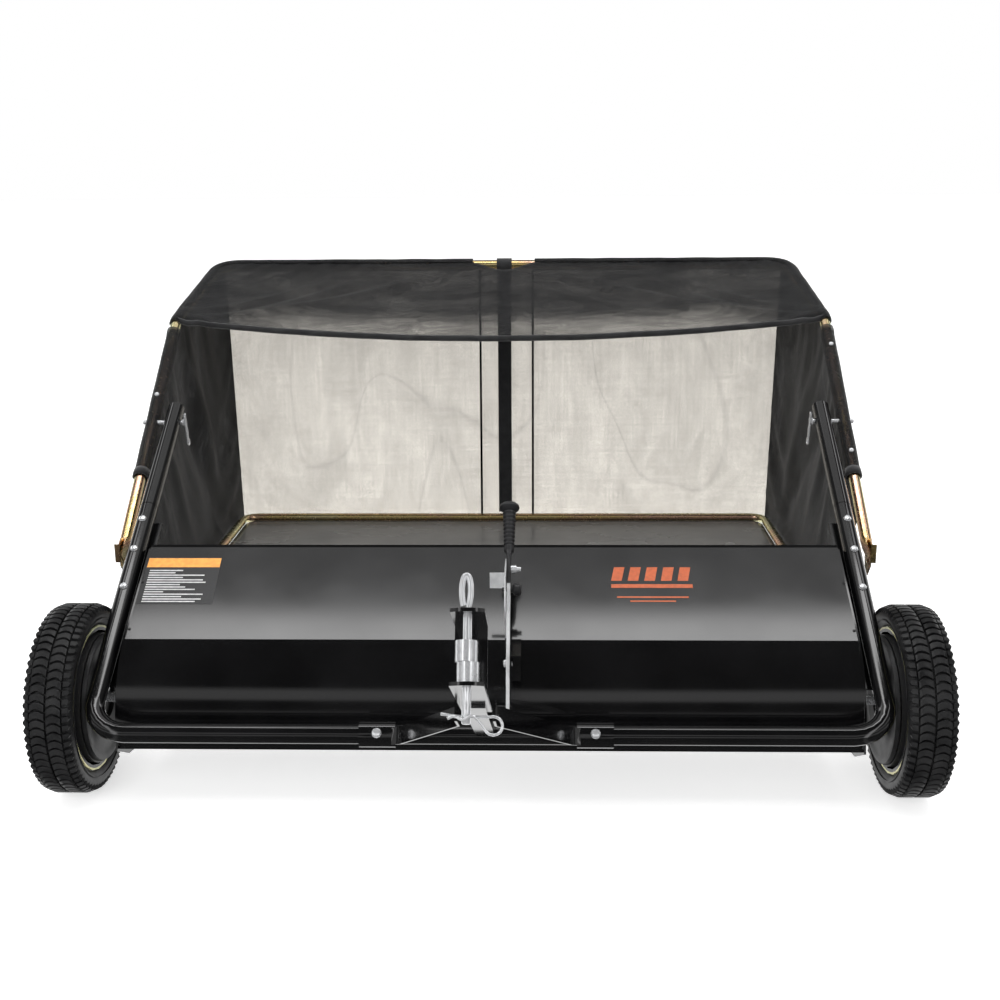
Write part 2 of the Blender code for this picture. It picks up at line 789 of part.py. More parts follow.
def make_hitch_pin(pin):
    """A pin whose top is bent into a loop, and the hair clip through its foot."""
    loop_base = THROAT_HEIGHT + 0.016
    loop_top = loop_base + LOOP_TALL
    path = [(0, 0, -PIN_FOOT), (0, 0, loop_base - 0.006)]
    centre = (loop_base - 0.004 + loop_top) / 2
    tall = (loop_top - loop_base + 0.004) / 2
    for i in range(13):
        angle = math.radians(-80 + 320 * i / 12)
        x = LOOP_HALF * math.cos(angle) - 0.001
        path.append((x, 0, centre + tall * math.sin(angle)))
    radii = [1, 1] + [LOOP_WIRE] * (len(path) - 2)
    rod = place(tube("hitch_pin", path, PIN_R, None, 12, radii), pin)
    rod = as_mesh(rod)
    foot = CLIP_FOOT
    hole = cylinder("hitch_pin_hole", CLIP_WIRE + 0.0004, 0.03, 10)
    helper(hole, pin, (0, 0, foot), (0, RIGHT_ANGLE, 0))
    cut(rod, hole)
    paint(rod, ZINC)
    smooth(rod)
    ring = CLIP_RING
    clip = [(-0.024, 0, foot), (0.014, 0, foot)]
    centre_x = 0.018 + ring
    for i in range(13):
        angle = math.radians(120 - 290 * i / 12)
        clip.append((centre_x + ring * math.cos(angle), 0, foot - ring * 0.85 + ring * math.sin(angle)))
    front = PIN_R + CLIP_WIRE + GAP
    clip += [(0.012, -front * 0.8, foot - 0.004), (0.006, -front, foot + 0.0005)]
    clip += [(0, -front - 0.0012, foot - 0.0005), (-0.007, -front, foot - 0.004)]
    clip += [(-0.020, -front + 0.001, foot - 0.006)]
    spring = place(tube("hitch_clip", clip, CLIP_WIRE, None, 8), pin)
    paint(spring, ZINC)


# Height lever


def make_lever(lever):
    """Local Z runs up the bar and local Y square to it, and the bolt and the tongue's stub lie along X."""
    upright = Vector((LEVER_Y - RAIL_Y, LEVER_Z - RAIL_Z))
    reach = upright.length - EAR_ARM
    down = -upright.normalized() * reach
    turn = -LEVER_TILT
    foot_y = down.x * math.cos(turn) + down.y * math.sin(turn)
    foot_z = down.y * math.cos(turn) - down.x * math.sin(turn)
    wide = LEVER_HALF
    foot = Vector((foot_y, foot_z))
    along = foot.normalized()
    across = Vector((-along.y, along.x))
    fork = []
    for side in (-1, 1):
        wall = foot + across * FORK_HALF * side
        outer = wall + across * FORK_WALL * side
        ends = [outer - along * 0.012, outer + along * FORK_REACH]
        ends += [wall + along * FORK_REACH, wall - along * FORK_DEPTH]
        fork += [tuple(p) for p in ends][::-side]
    outline = [(wide, LEVER_BAR_END), (-wide, LEVER_BAR_END), (-wide, -0.004), *fork, (wide, -0.004)]
    loops = [outline, circle(LEVER_PIN_R + GAP, 14), circle(LOCK_PIN_R + GAP, 12, (0, LOCK_R))]
    bar = place(sheet("lever_bar", loops, LEVER_THICK), lever, (0, 0, 0), FACING_X)
    tang = box("lever_tang", (-0.0024, -TANG_HALF, LEVER_BAR_END - 0.005), (0.0024, TANG_HALF, TANG_END))
    bar = as_mesh(bar)
    cut(bar, helper(tang, lever), "UNION")
    paint(bar, ZINC)
    profile = [
        (0, LEVER_TOP),
        (0.009, LEVER_TOP - 0.001),
        (GRIP_HEAD_R, LEVER_TOP - 0.006),
        (GRIP_HEAD_R, LEVER_TOP - 0.011),
        (GRIP_R + 0.001, LEVER_TOP - 0.015),
        (GRIP_R, GRIP_LOW),
        (0, GRIP_LOW),
    ]
    grip = turned("lever_grip", profile, 16)
    place(grip, lever)
    grip = as_mesh(grip)
    room = TANG_HALF + GAP
    pocket = box("grip_pocket", (-0.0027, -room, LOCK_R), (0.0027, room, TANG_END + 2 * GAP))
    cut(grip, helper(pocket, lever))
    paint(grip, BLACK_PLASTIC)
    smooth(grip)
    bolt = turned("lever_pivot_bolt", bolt_profile(0.0065, 0.0045, LEVER_PIN_R, 0.0095), 12)
    place(bolt, lever, (-LEVER_THICK / 2 - GAP, 0, 0), (0, -RIGHT_ANGLE, 0))
    paint(bolt, ZINC)
    knob = [
        (0, 0.016),
        (0.007, 0.016),
        (0.009, 0.013),
        (0.009, 0.006),
        (0.005, 0.003),
        (0.005, 0),
        (LOCK_PIN_R, 0),
        (LOCK_PIN_R, -0.0125),
        (0, -0.0125),
    ]
    lock = turned("lock_knob", knob, 14)
    place(lock, lever, (LEVER_THICK / 2 + GAP, 0, LOCK_R), (0, RIGHT_ANGLE, 0))
    paint(lock, BLACK_PLASTIC)


def panel_height(y):
    """Z of the hood's flat panel at y."""
    slope = (PANEL_REAR[1] - PANEL_CREASE[1]) / (PANEL_REAR[0] - PANEL_CREASE[0])
    return PANEL_CREASE[1] + slope * (y - PANEL_CREASE[0])


def lever_arc(radius, start, end, steps):
    """Points of an arc about the lever's pivot, in (Y, Z)."""
    points = []
    for i in range(steps + 1):
        angle = start + (end - start) * i / steps
        points.append((LEVER_Y + radius * math.cos(angle), LEVER_Z + radius * math.sin(angle)))
    return points


def make_index_plate(machine):
    """A quadrant standing on the hood, with an arc slot for the lock knob and a folded front tab."""
    front_y, rear_y = INDEX_BASE
    above = 0.0015
    base = [(y, panel_height(y) + above) for y in INDEX_BASE]
    rise = base[1][1] - LEVER_Z
    rim = lever_arc(INDEX_R, math.asin(rise / INDEX_R) + 0.03, math.asin((INDEX_TOP - LEVER_Z) / INDEX_R), 5)
    outline = [*base, *rim, (-0.058, INDEX_TOP - 0.003), (-0.066, 0.318)]
    middle = RIGHT_ANGLE - LEVER_TILT
    outer = lever_arc(LOCK_R + SLOT_HALF, middle - SLOT_SWING, middle + SLOT_SWING, 8)
    inner = lever_arc(LOCK_R - SLOT_HALF, middle + SLOT_SWING, middle - SLOT_SWING, 8)
    x = LEVER_X - LEVER_THICK / 2 - 0.0012 - INDEX_THICK / 2
    plate = sheet("index_plate", [outline, [*outer, *inner]], INDEX_THICK)
    plate = as_mesh(place(plate, machine, (x, 0, 0), FACING_X))
    tab = box("index_tab", (0.002, -0.001, INDEX_TOP - 0.037), (x + 0.0005, 0.001, INDEX_TOP - 0.013))
    cut(plate, helper(tab, machine, (0, -0.004, 0)), "UNION")
    foot = box("index_foot", (0, 0, 0), (0.007, rear_y - front_y, INDEX_THICK))
    slope = math.atan2(PANEL_REAR[1] - PANEL_CREASE[1], PANEL_REAR[0] - PANEL_CREASE[0])
    foot_y = front_y + 0.001
    helper(foot, machine, (x - 0.001, foot_y, panel_height(foot_y) + above), (slope, 0, 0))
    cut(plate, foot, "UNION")
    paint(plate, ZINC)


def make_lever_bracket(machine):
    """A channel on the rolled front that carries the lever's pivot bolt."""
    curve = [p for p in front_arc(-SHEET - 0.0008) if p[1] > 0.200]
    outline = [(BRACKET_FRONT, BRACKET_TOP), (BRACKET_FRONT, BRACKET_LOW), *reversed(curve[2:])]
    x = LEVER_X + LEVER_THICK / 2 + GAP + 0.001
    loops = [outline, circle(LEVER_PIN_R + GAP, 14, (LEVER_Y, LEVER_Z))]
    web = as_mesh(place(sheet("lever_bracket", loops, 0.002), machine, (x + 0.0005, 0, 0), FACING_X))
    outer = x + BRACKET_WIDTH
    walls = (
        ("top", (BRACKET_FRONT, BRACKET_TOP - 0.002), (-0.052, BRACKET_TOP)),
        ("foot", (BRACKET_FRONT, BRACKET_LOW), (-0.090, BRACKET_LOW + 0.002)),
        ("back", (-0.092, BRACKET_LOW + 0.0005), (-0.090, BRACKET_TOP - 0.0005)),
    )
    for name, low, high in walls:
        wall = box("lever_bracket_" + name, (x, *low), (outer, *high))
        cut(web, helper(wall, machine), "UNION")
    paint(web, BLACK_PAINT)


# Hopper


def upper_path():
    """Half of the upper frame, from the flattened lower end to the middle of the rear run."""
    return [
        (HOPPER_X, *SIDE_LOW),
        (HOPPER_X, *SIDE_CORNER),
        (HOPPER_REAR_X, TOP_REAR[0], TOP_REAR[1]),
    ]


def make_upper_frame(machine, hopper):
    right = upper_path()
    left = [(-x, y, z) for x, y, z in reversed(right)]
    path = rounded(right + left, 0.045, 4)
    frame = tube("upper_frame", in_hopper(path), UPPER_R, None, 12)
    frame = as_mesh(place(frame, hopper))
    for side, s in SIDES:
        hole = cylinder("upper_pin_hole_" + side, PIVOT_PIN_R + GAP, 0.05, 14)
        helper(hole, machine, (s * HOPPER_X, PIVOT_Y, PIVOT_Z), (0, RIGHT_ANGLE, 0))
        cut(frame, hole)
    paint(frame, YELLOW_ZINC)
    smooth(frame)


def in_hopper(points):
    """Points given from the axle, moved into the hopper's pivot frame."""
    return [Vector(p) - Vector((0, PIVOT_Y, PIVOT_Z)) for p in points]


def make_lower_frame(hopper):
    right = [
        (0.598, 0.204, 0.300),
        (FLOOR_X, 0.235, FLOOR_Z),
        (FLOOR_X, FLOOR_REAR, FLOOR_Z),
    ]
    left = [(-x, y, z) for x, y, z in reversed(right)]
    path = rounded(right + left, 0.030, 4)
    frame = place(tube("lower_frame", in_hopper(path), LOWER_R, None, 12), hopper)
    paint(frame, YELLOW_ZINC)


def make_end_brackets(hopper):
    """Folded plates below the upper frame's ends, outside the fabric, that carry the lower frame."""
    for side, s in SIDES:
        outline = [
            (0.2014, 0.3418),
            (0.2132, 0.3270),
            (0.215, 0.305),
            (0.208, 0.285),
            (0.195, 0.280),
            (0.179, 0.300),
            (0.179, 0.338),
            (0.190, 0.344),
        ]
        local = [(y - PIVOT_Y, z - PIVOT_Z) for y, z in outline]
        plate = sheet("end_bracket_" + side, [local], 0.002)
        x = s * (HOPPER_X + 0.002)
        plate = as_mesh(place(plate, hopper, (x, 0, 0), FACING_X))
        low = (s * (HOPPER_X + 0.002), 0.178 - PIVOT_Y, 0.306 - PIVOT_Z)
        high = (s * (HOPPER_X + 0.010), 0.180 - PIVOT_Y, 0.337 - PIVOT_Z)
        fold = box("end_bracket_fold_" + side, *sorted_box(low, high))
        helper(fold, hopper)
        cut(plate, fold, "UNION")
        paint(plate, YELLOW_ZINC)


def make_rods(hopper):
    clear = 0.0006
    for name, x in (("hopper_rod_left", -0.045), ("hopper_rod_right", 0.065)):
        ends = [
            (x, FLOOR_REAR, FLOOR_Z + LOWER_R + clear),
            (x, TOP_REAR[0] - 0.001, TOP_REAR[1] - UPPER_R - clear),
        ]
        rod = place(tube(name, in_hopper(ends), 0.0025, None, 10), hopper)
        paint(rod, BLACK_PAINT)


def mix(a, b, t):
    return a + (b - a) * t


def hem_drop(x, width):
    """How far the front hem hangs at x."""
    return HEM_SAG * (1 - (x / width) ** 2)


def make_canopy(hopper):
    """The top cover, from its sagging front hem back to the rear run."""
    clear = UPPER_R + FABRIC
    rows = []
    for j in range(5):
        t = j / 4
        width = mix(HOPPER_X, HOPPER_REAR_X, t) - clear - 0.003 - CORNER_CUT * t**4
        row = []
        for i in range(11):
            x = width * (i - 5) / 5
            y = mix(SIDE_CORNER[0] + 0.004, TOP_REAR[0] - clear, t)
            z = mix(SIDE_CORNER[1] + 0.004, TOP_REAR[1], t) - hem_drop(x, width) * (1 - t) ** 2
            row.append((x, y, z))
        rows.append(in_hopper(row))
    canopy = place(loft("bag_canopy", rows, FABRIC), hopper)
    paint(canopy, BLACK_FABRIC)


def make_rear_panel(hopper):
    """The see-through back, behind the frame's rear runs, with the strap in front of it."""
    back = UPPER_R + FABRIC
    low = [(s * (FLOOR_X - 0.004), FLOOR_REAR + back, FLOOR_Z) for s in (-1, 1)]
    high = [(s * (HOPPER_REAR_X - 0.020), TOP_REAR[0] + back, TOP_REAR[1]) for s in (-1, 1)]
    panel = place(loft("bag_rear_panel", [in_hopper(low), in_hopper(high)], FABRIC), hopper)
    paint(panel, PALE_MESH)
    strap = []
    for x in (-0.008, 0.020):
        foot = (x, FLOOR_REAR + 0.0055, FLOOR_Z + LOWER_R + 0.004)
        head = (x, TOP_REAR[0] + 0.0055, TOP_REAR[1] - UPPER_R - 0.004)
        strap.append(in_hopper([foot, head]))
    band = place(loft("centre_strap", strap, 0.002), hopper)
    paint(band, BLACK_FABRIC)


def make_side_panels(hopper):
    """Each side hangs from the upper tube and draws in to the lower one."""
    slope = math.atan2(SIDE_CORNER[1] - SIDE_LOW[1], SIDE_CORNER[0] - SIDE_LOW[0])
    clear = (UPPER_R + FABRIC) / math.cos(slope)
    tops = [SIDE_LOW, mix_point(SIDE_LOW, SIDE_CORNER, 0.5), SIDE_CORNER, TOP_REAR]
    starts = (0.245, 0.42, 0.58, FLOOR_REAR - 0.012)
    for side, s in SIDES:
        low_row = []
        high_row = []
        for (y, z), floor_y in zip(tops, starts):
            at_rear = max(0.0, (y - SIDE_CORNER[0]) / (TOP_REAR[0] - SIDE_CORNER[0]))
            x = mix(HOPPER_X, HOPPER_REAR_X, at_rear) - 0.004
            inset = 0.022 if y < 0.3 else 0
            high_row.append((s * x, y + inset - 0.012 * at_rear, z - clear))
            low_row.append((s * (FLOOR_X + 0.006), floor_y, FLOOR_Z + LOWER_R + FABRIC))
        rows = []
        for j in range(4):
            t = j / 3
            row = []
            for a, b in zip(low_row, high_row):
                row.append([mix(p, q, t) for p, q in zip(a, b)])
            rows.append(in_hopper(row))
        panel = place(loft("bag_side_" + side, rows, FABRIC), hopper)
        paint(panel, BLACK_FABRIC)


def mix_point(a, b, t):
    return tuple(mix(p, q, t) for p, q in zip(a, b))


def make_floor(hopper):
    half = FLOOR_X - LOWER_R - 0.002
    front = FLOOR_FRONT - PIVOT_Y
    rear = FLOOR_REAR - LOWER_R - 0.002 - PIVOT_Y
    right = [(half, front), (half, rear - CORNER_CUT), (half - CORNER_CUT, rear)]
    outline = right + [(-x, y) for x, y in reversed(right)]
    floor = place(sheet("bag_floor", [outline], FABRIC), hopper, (0, 0, FLOOR_Z - FLOOR_DROP - PIVOT_Z))
    paint(floor, FLOOR_SHEET)


def main():
    machine = joint_frame("machine", None, (0, AXLE_Y, 0))
    frame = joint_frame("draw_frame_plane", machine, (0, RAIL_Y, RAIL_Z), (FRAME_SLOPE, 0, 0))
    tongue = joint_frame("tongue_pivot", machine, (0, RAIL_Y, RAIL_Z), (-TONGUE_SLOPE, 0, 0))
    hopper = joint_frame("hopper_pivot", machine, (0, PIVOT_Y, PIVOT_Z))
    brush = joint_frame("brush_axis", machine, (0, BRUSH_Y, BRUSH_Z))
    lever = joint_frame("lever_pivot", machine, (LEVER_X, LEVER_Y, LEVER_Z), (-LEVER_TILT, 0, 0))
    pin = joint_frame("hitch_pin_axis", tongue, (0, -PIN_F, 0))
    make_hood(machine)
    make_side_plates(machine, frame)
    make_draw_frame(frame, tongue)
    make_arms(machine, frame)
    make_axles(machine)
    for side, s in SIDES:
        make_wheel(side, s, joint_frame("wheel_axis_" + side, machine, (s * WHEEL_X, 0, WHEEL_R)))
        pinion_at = (s * PINION_X, BRUSH_Y, BRUSH_Z)
        make_pinion(side, joint_frame("pinion_axis_" + side, machine, pinion_at))
    make_brush(brush)
    make_straps(tongue)
    make_tongue_bar(tongue)
    make_hitch_bracket(tongue)
    make_spacers(tongue)
    make_hitch_pin(pin)
    make_lever(lever)
    make_index_plate(machine)
    make_lever_bracket(machine)
    make_upper_frame(machine, hopper)
    make_lower_frame(hopper)
    make_end_brackets(hopper)
    make_rods(hopper)
    make_canopy(hopper)
    make_rear_panel(hopper)
    make_side_panels(hopper)
    make_floor(hopper)


main()
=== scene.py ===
"""The looks of the lawn sweeper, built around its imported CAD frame."""

import json
import math

import bmesh
import bpy
import numpy as np
from mathutils import Matrix, Vector, noise


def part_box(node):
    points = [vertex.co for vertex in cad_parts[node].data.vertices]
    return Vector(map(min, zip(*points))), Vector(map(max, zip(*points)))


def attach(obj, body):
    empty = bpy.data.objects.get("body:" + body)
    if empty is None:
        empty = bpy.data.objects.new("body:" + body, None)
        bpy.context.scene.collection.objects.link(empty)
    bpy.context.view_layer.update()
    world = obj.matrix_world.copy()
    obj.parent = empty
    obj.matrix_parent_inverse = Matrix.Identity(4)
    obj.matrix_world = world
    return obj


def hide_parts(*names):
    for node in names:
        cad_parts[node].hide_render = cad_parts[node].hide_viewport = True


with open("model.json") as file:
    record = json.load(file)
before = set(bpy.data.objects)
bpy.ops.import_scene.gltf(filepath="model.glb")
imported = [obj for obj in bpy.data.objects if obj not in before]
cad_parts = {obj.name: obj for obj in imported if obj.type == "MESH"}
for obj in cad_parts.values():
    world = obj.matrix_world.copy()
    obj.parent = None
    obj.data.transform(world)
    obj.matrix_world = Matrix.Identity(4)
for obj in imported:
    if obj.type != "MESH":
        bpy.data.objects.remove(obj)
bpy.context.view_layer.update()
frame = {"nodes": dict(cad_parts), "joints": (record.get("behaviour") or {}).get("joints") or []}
NODES = frame["nodes"]
JOINTS = {joint["name"]: joint for joint in frame["joints"]}

SIDES = (("left", -1), ("right", 1))

# Driving places, from the frame
AXLE = Vector(JOINTS["wheel_right_spin"]["pos_m"])
BRUSH = Vector(JOINTS["brush_spin"]["pos_m"])
TONGUE = Vector(JOINTS["tongue_tilt"]["pos_m"])
LEVER = Vector(JOINTS["lever_swing"]["pos_m"])
PIVOT = Vector(JOINTS["hopper_tip"]["pos_m"])
PIN_UP = Vector(JOINTS["hitch_pin_lift"]["axis"]).normalized()
WHEEL_X = AXLE.x
WHEEL_R = AXLE.z


def off_axle(x, y, z):
    """A point given from below the axle, in the frame's coordinates."""
    return Vector((x, y + AXLE.y, z))


# Hopper lines, measured from the axle, as in the CAD
UPPER_R = 0.0095
LOWER_R = 0.0085
SIDE_X = 0.613
REAR_X = 0.588
SIDE_LOW = (0.208, 0.335)
SIDE_CORNER = (0.606, 0.651)
TOP_REAR = (0.870, 0.733)
FLOOR_X = 0.560
FLOOR_Z = 0.196
BAG_FOOT_Z = FLOOR_Z - 0.006
FLOOR_REAR = 0.8425
FLOOR_FRONT = 0.250
HEM_SAG = 0.037
HEM_DROP = 0.0105
SLEEVE_START = 0.312
SLEEVE_END = 0.585
STUD_PLACES = {"left": (0.455,), "right": (0.352, 0.548)}
UPPER_BEND = 0.045
STRAP_X = 0.006
STRAP_HALF = 0.014

# Cloth: its thickness and its gap from the tubes, half the width of the cover's cut-out at the
# strap, and for the simulation its last frame and the most that a point may move
CLOTH = 0.0011
TUCK = 0.0022
NOTCH_HALF = 0.068
DRAPE_FRAMES = 22
DRAPE_MOST = 0.016

# Hood panel, measured from the axle: its edges, its skin above that line, and its side screws
PANEL_REAR = (0.140, 0.3435)
PANEL_CREASE = (-0.020, 0.248)
PANEL_SKIN = 0.0009
SCREW_X = 0.5475

# Wheels: the dust covers' place, the tread, and the ribs on the side walls
DUST_X = 0.5965
TREAD_PITCHES = 70
TREAD_DEPTH = 0.0055
RIB_X = 0.0345
RIB_R = 0.1215

# Hitch pin: its place along the tongue from the rail, its radius, and its clip below the tongue
PIN_F = 0.5385
PIN_R = 0.0048
CLIP_FOOT = -0.030
CLIP_WIRE = 0.0015


# Materials


class Nodes:
    """Short calls for building a node tree."""

    def __init__(self, tree):
        self.tree = tree

    def set(self, node, name, value):
        """Gives an input a value, or links another node's output to it."""
        if isinstance(value, bpy.types.NodeSocket):
            self.tree.links.new(value, node.inputs[name])
        else:
            node.inputs[name].default_value = value

    def add(self, kind, inputs=None, **settings):
        """A new node; inputs holds a value or another node's output for each input it names."""
        node = self.tree.nodes.new(kind)
        for key, value in settings.items():
            setattr(node, key, value)
        for key, value in (inputs or {}).items():
            self.set(node, key, value)
        return node

    def math(self, operation, a, b=0.0, clamp=False):
        inputs = {0: a, 1: b}
        return self.add("ShaderNodeMath", inputs, operation=operation, use_clamp=clamp).outputs[0]

    def times(self, a, b, clamp=False):
        return self.math("MULTIPLY", a, b, clamp)

    def plus(self, a, b):
        return self.math("ADD", a, b)

    def component(self, vector, name):
        return self.add("ShaderNodeSeparateXYZ", {"Vector": vector}).outputs[name]

    def mix(self, share, a, b):
        """Shader a, with its share of shader b."""
        return self.add("ShaderNodeMixShader", {"Fac": share, 1: a, 2: b}).outputs[0]

    def ramp(self, value, stops):
        """stops are (position, colour) pairs."""
        node = self.add("ShaderNodeValToRGB", {"Fac": value})
        elements = node.color_ramp.elements
        while len(elements) < len(stops):
            elements.new(0.5)
        for element, (position, color) in zip(elements, stops):
            element.position = position
            element.color = (*color, 1)
        return node.outputs["Color"]

    def span(self, value, low, high, start=0.0, end=1.0, **settings):
        """Runs from start to end as value runs from low to high."""
        inputs = {"Value": value, "From Min": low, "From Max": high, "To Min": start, "To Max": end}
        return self.add("ShaderNodeMapRange", inputs, **settings).outputs["Result"]


class Look(Nodes):
    """A node material with one Principled shader, whose inputs are given by name."""

    def __init__(self, name, **inputs):
        self.material = bpy.data.materials.new(name)
        self.material.use_nodes = True
        super().__init__(self.material.node_tree)
        self.shader = self.tree.nodes["Principled BSDF"]
        for key, value in inputs.items():
            self.set(self.shader, key.replace("_", " "), value)
        self.where = self.add("ShaderNodeTexCoord").outputs["Object"]

    def noise(self, scale, detail=3.0, stretch=(1, 1, 1), distortion=0.0):
        place = self.add("ShaderNodeMapping", {"Vector": self.where, "Scale": stretch}).outputs[0]
        inputs = {"Vector": place, "Scale": scale, "Detail": detail, "Distortion": distortion}
        return self.add("ShaderNodeTexNoise", inputs).outputs["Fac"]

    def axis(self, name):
        return self.component(self.where, name)

    def tones(self, value, *stops):
        """Colours the surface by value; stops are (position, colour) pairs."""
        self.set(self.shader, "Base Color", self.ramp(value, stops))

    def roughness(self, value, low, high, start, end):
        self.set(self.shader, "Roughness", self.span(value, low, high, start, end))

    def bump(self, height, strength, distance):
        inputs = {"Height": height, "Strength": strength, "Distance": distance}
        self.set(self.shader, "Normal", self.add("ShaderNodeBump", inputs).outputs["Normal"])

    def see_through(self, share, tint=(1, 1, 1)):
        """Mixes the shader with clear holes; share is how much of the surface is open."""
        clear = self.add("ShaderNodeBsdfTransparent", {"Color": (*tint, 1)}).outputs[0]
        mixed = self.mix(share, self.shader.outputs[0], clear)
        self.set(self.tree.nodes["Material Output"], "Surface", mixed)


def paint_look(name):
    """Black powder coat: a deep gloss with a fine orange peel and faint dust."""
    look = Look(name, Coat_Weight=0.4, Coat_Roughness=0.05, Specular_IOR_Level=0.5)
    dust = look.noise(9.0, 6.0)
    look.roughness(dust, 0.3, 0.8, 0.08, 0.18)
    look.tones(dust, (0.35, (0.0016, 0.0016, 0.0018)), (0.8, (0.0040, 0.0040, 0.0043)))
    look.bump(look.noise(420.0, 2.0), 0.035, 0.0003)
    return look.material


def zinc_look(name, roughness, tint, metallic):
    """Bright zinc plate with a fine drawn grain and cloudy patches."""
    look = Look(name, Metallic=metallic)
    cloud = look.noise(60.0, 5.0)
    darker = tuple(c * 0.74 for c in tint)
    look.tones(cloud, (0.3, darker), (0.62, tint))
    look.roughness(cloud, 0.3, 0.7, roughness + 0.10, roughness - 0.06)
    look.bump(look.noise(900.0, 2.0, (1, 0.25, 1)), 0.10, 0.0002)
    return look.material


def yellow_zinc_look(name):
    """Yellow passivated zinc, whose film drifts from gold through pink to green."""
    look = Look(name, Metallic=1.0)
    drift = look.noise(4.5, 3.0, distortion=1.0)
    facing = look.add("ShaderNodeLayerWeight").outputs["Facing"]
    film = [
        (0.30, (0.90, 0.78, 0.42)),
        (0.46, (0.88, 0.66, 0.28)),
        (0.58, (0.84, 0.52, 0.38)),
        (0.70, (0.72, 0.62, 0.34)),
        (0.86, (0.80, 0.82, 0.50)),
    ]
    look.tones(look.plus(drift, look.times(facing, 0.34)), *film)
    grain = look.noise(140.0, 4.0)
    look.roughness(grain, 0.3, 0.7, 0.16, 0.30)
    look.bump(grain, 0.05, 0.0002)
    return look.material


def rubber_look(name):
    """Matt black rubber, a little greyer and rougher where it is worn."""
    look = Look(name, Specular_IOR_Level=0.32)
    wear = look.noise(30.0, 6.0)
    look.tones(wear, (0.3, (0.006, 0.006, 0.0065)), (0.75, (0.020, 0.020, 0.0205)))
    look.roughness(wear, 0.3, 0.8, 0.34, 0.55)
    look.bump(look.noise(700.0, 3.0), 0.2, 0.0004)
    return look.material


def plastic_look(name):
    """Moulded black plastic with a fine spark texture."""
    look = Look(name, Base_Color=(0.012, 0.012, 0.013, 1))
    grain = look.noise(1100.0, 2.0)
    look.roughness(grain, 0.3, 0.7, 0.36, 0.52)
    look.bump(grain, 0.22, 0.0003)
    return look.material


def bristle_look(name):
    """Dark plastic bristles, streaked along their length."""
    look = Look(name, Roughness=0.55)
    streak = look.noise(300.0, 3.0, (1, 0.1, 0.1))
    look.tones(streak, (0.3, (0.010, 0.010, 0.010)), (0.7, (0.045, 0.043, 0.040)))
    return look.material


def weave(look, pitch, across):
    """0 in the gaps of a plain weave and 1 on its threads, with threads along two axes."""
    waves = []
    for name in across:
        wave = look.math("SINE", look.times(look.axis(name), 2 * math.pi / pitch))
        waves.append(look.math("ABSOLUTE", wave))
    return look.math("MINIMUM", *waves)


def black_mesh_look(name, across, openness, banding):
    """Coated black net: fine threads, small holes, and slow bands where its threads beat."""
    look = Look(name, Roughness=0.6, Sheen_Weight=0.10, Sheen_Roughness=0.4, Specular_IOR_Level=0.25)
    holes = weave(look, 0.0022, across)
    slow = look.noise(5.0, 3.0, (1.0, 3.0, 1.0), 0.8)
    dust = look.noise(40.0, 6.0)
    tone = look.plus(look.times(slow, 0.6), look.times(dust, 0.4))
    look.tones(tone, (0.35, (0.004, 0.004, 0.0045)), (0.65, (0.014, 0.014, 0.0145)))
    look.bump(holes, 0.5, 0.0004)
    open_share = look.times(look.span(holes, 0.25, 0.9, 0.4, 1.8), openness)
    warped = look.plus(look.times(slow, 70.0), look.times(look.axis("Y"), 260.0))
    beat = look.span(look.math("SINE", warped), -1.0, 1.0, 1 - 0.28 * banding, 1 + 0.28 * banding)
    drift = look.span(slow, 0.35, 0.65, 1 - 0.5 * banding, 1 + 0.5 * banding)
    return look, look.times(open_share, look.times(beat, drift))


def net_look(name, openness, banding):
    """The black net of the sides, whose threads run along Y and Z."""
    look, share = black_mesh_look(name, ("Y", "Z"), openness, banding)
    look.see_through(look.math("MINIMUM", share, 0.95))
    return look.material


def cover_look(name):
    """The cover's net, more open along the middle of its front hem, where one layer hangs alone."""
    look, share = black_mesh_look(name, ("X", "Y"), 0.20, 0.6)
    hem_y = AXLE.y + SIDE_CORNER[0]
    near_hem = look.span(look.axis("Y"), hem_y + 0.04, hem_y + 0.11, 3.0, 0.0)
    inside = look.span(look.math("ABSOLUTE", look.axis("X")), 0.40, 0.56, 1.0, 0.0)
    more = look.plus(look.times(near_hem, inside), 1.0)
    look.see_through(look.math("MINIMUM", look.times(share, more), 0.8))
    return look.material


def pale_mesh_look(name):
    """Thin see-through net that takes the light behind it, with creases that gather its threads."""
    look = Look(name, Roughness=0.85, Specular_IOR_Level=0.1)
    drift = look.math("SUBTRACT", look.noise(2.6, 1.0, (1.0, 1.0, 0.45), 0.4), 0.5)
    line = look.span(look.math("ABSOLUTE", drift), 0.0, 0.006, 0.90, 1.0)
    holes = weave(look, 0.0024, ("X", "Z"))
    crease = look.noise(9.0, 5.0, (1.6, 1.0, 0.8), 1.1)
    thread_x = look.noise(240.0, 2.0, (1, 1, 0.02))
    thread_z = look.noise(240.0, 2.0, (0.02, 1, 1))
    threads = look.times(look.plus(thread_x, thread_z), 0.5)
    tone = look.plus(look.times(crease, 0.5), look.times(threads, 0.5))
    look.tones(tone, (0.3, (0.46, 0.445, 0.42)), (0.7, (0.66, 0.645, 0.62)))
    look.bump(holes, 0.4, 0.0004)
    gaps = look.times(look.span(holes, 0.1, 0.8, 0.48, 0.72), line)
    look.see_through(look.times(gaps, look.span(tone, 0.3, 0.7, 0.84, 1.12), clamp=True), (1, 0.975, 0.93))
    return look.material


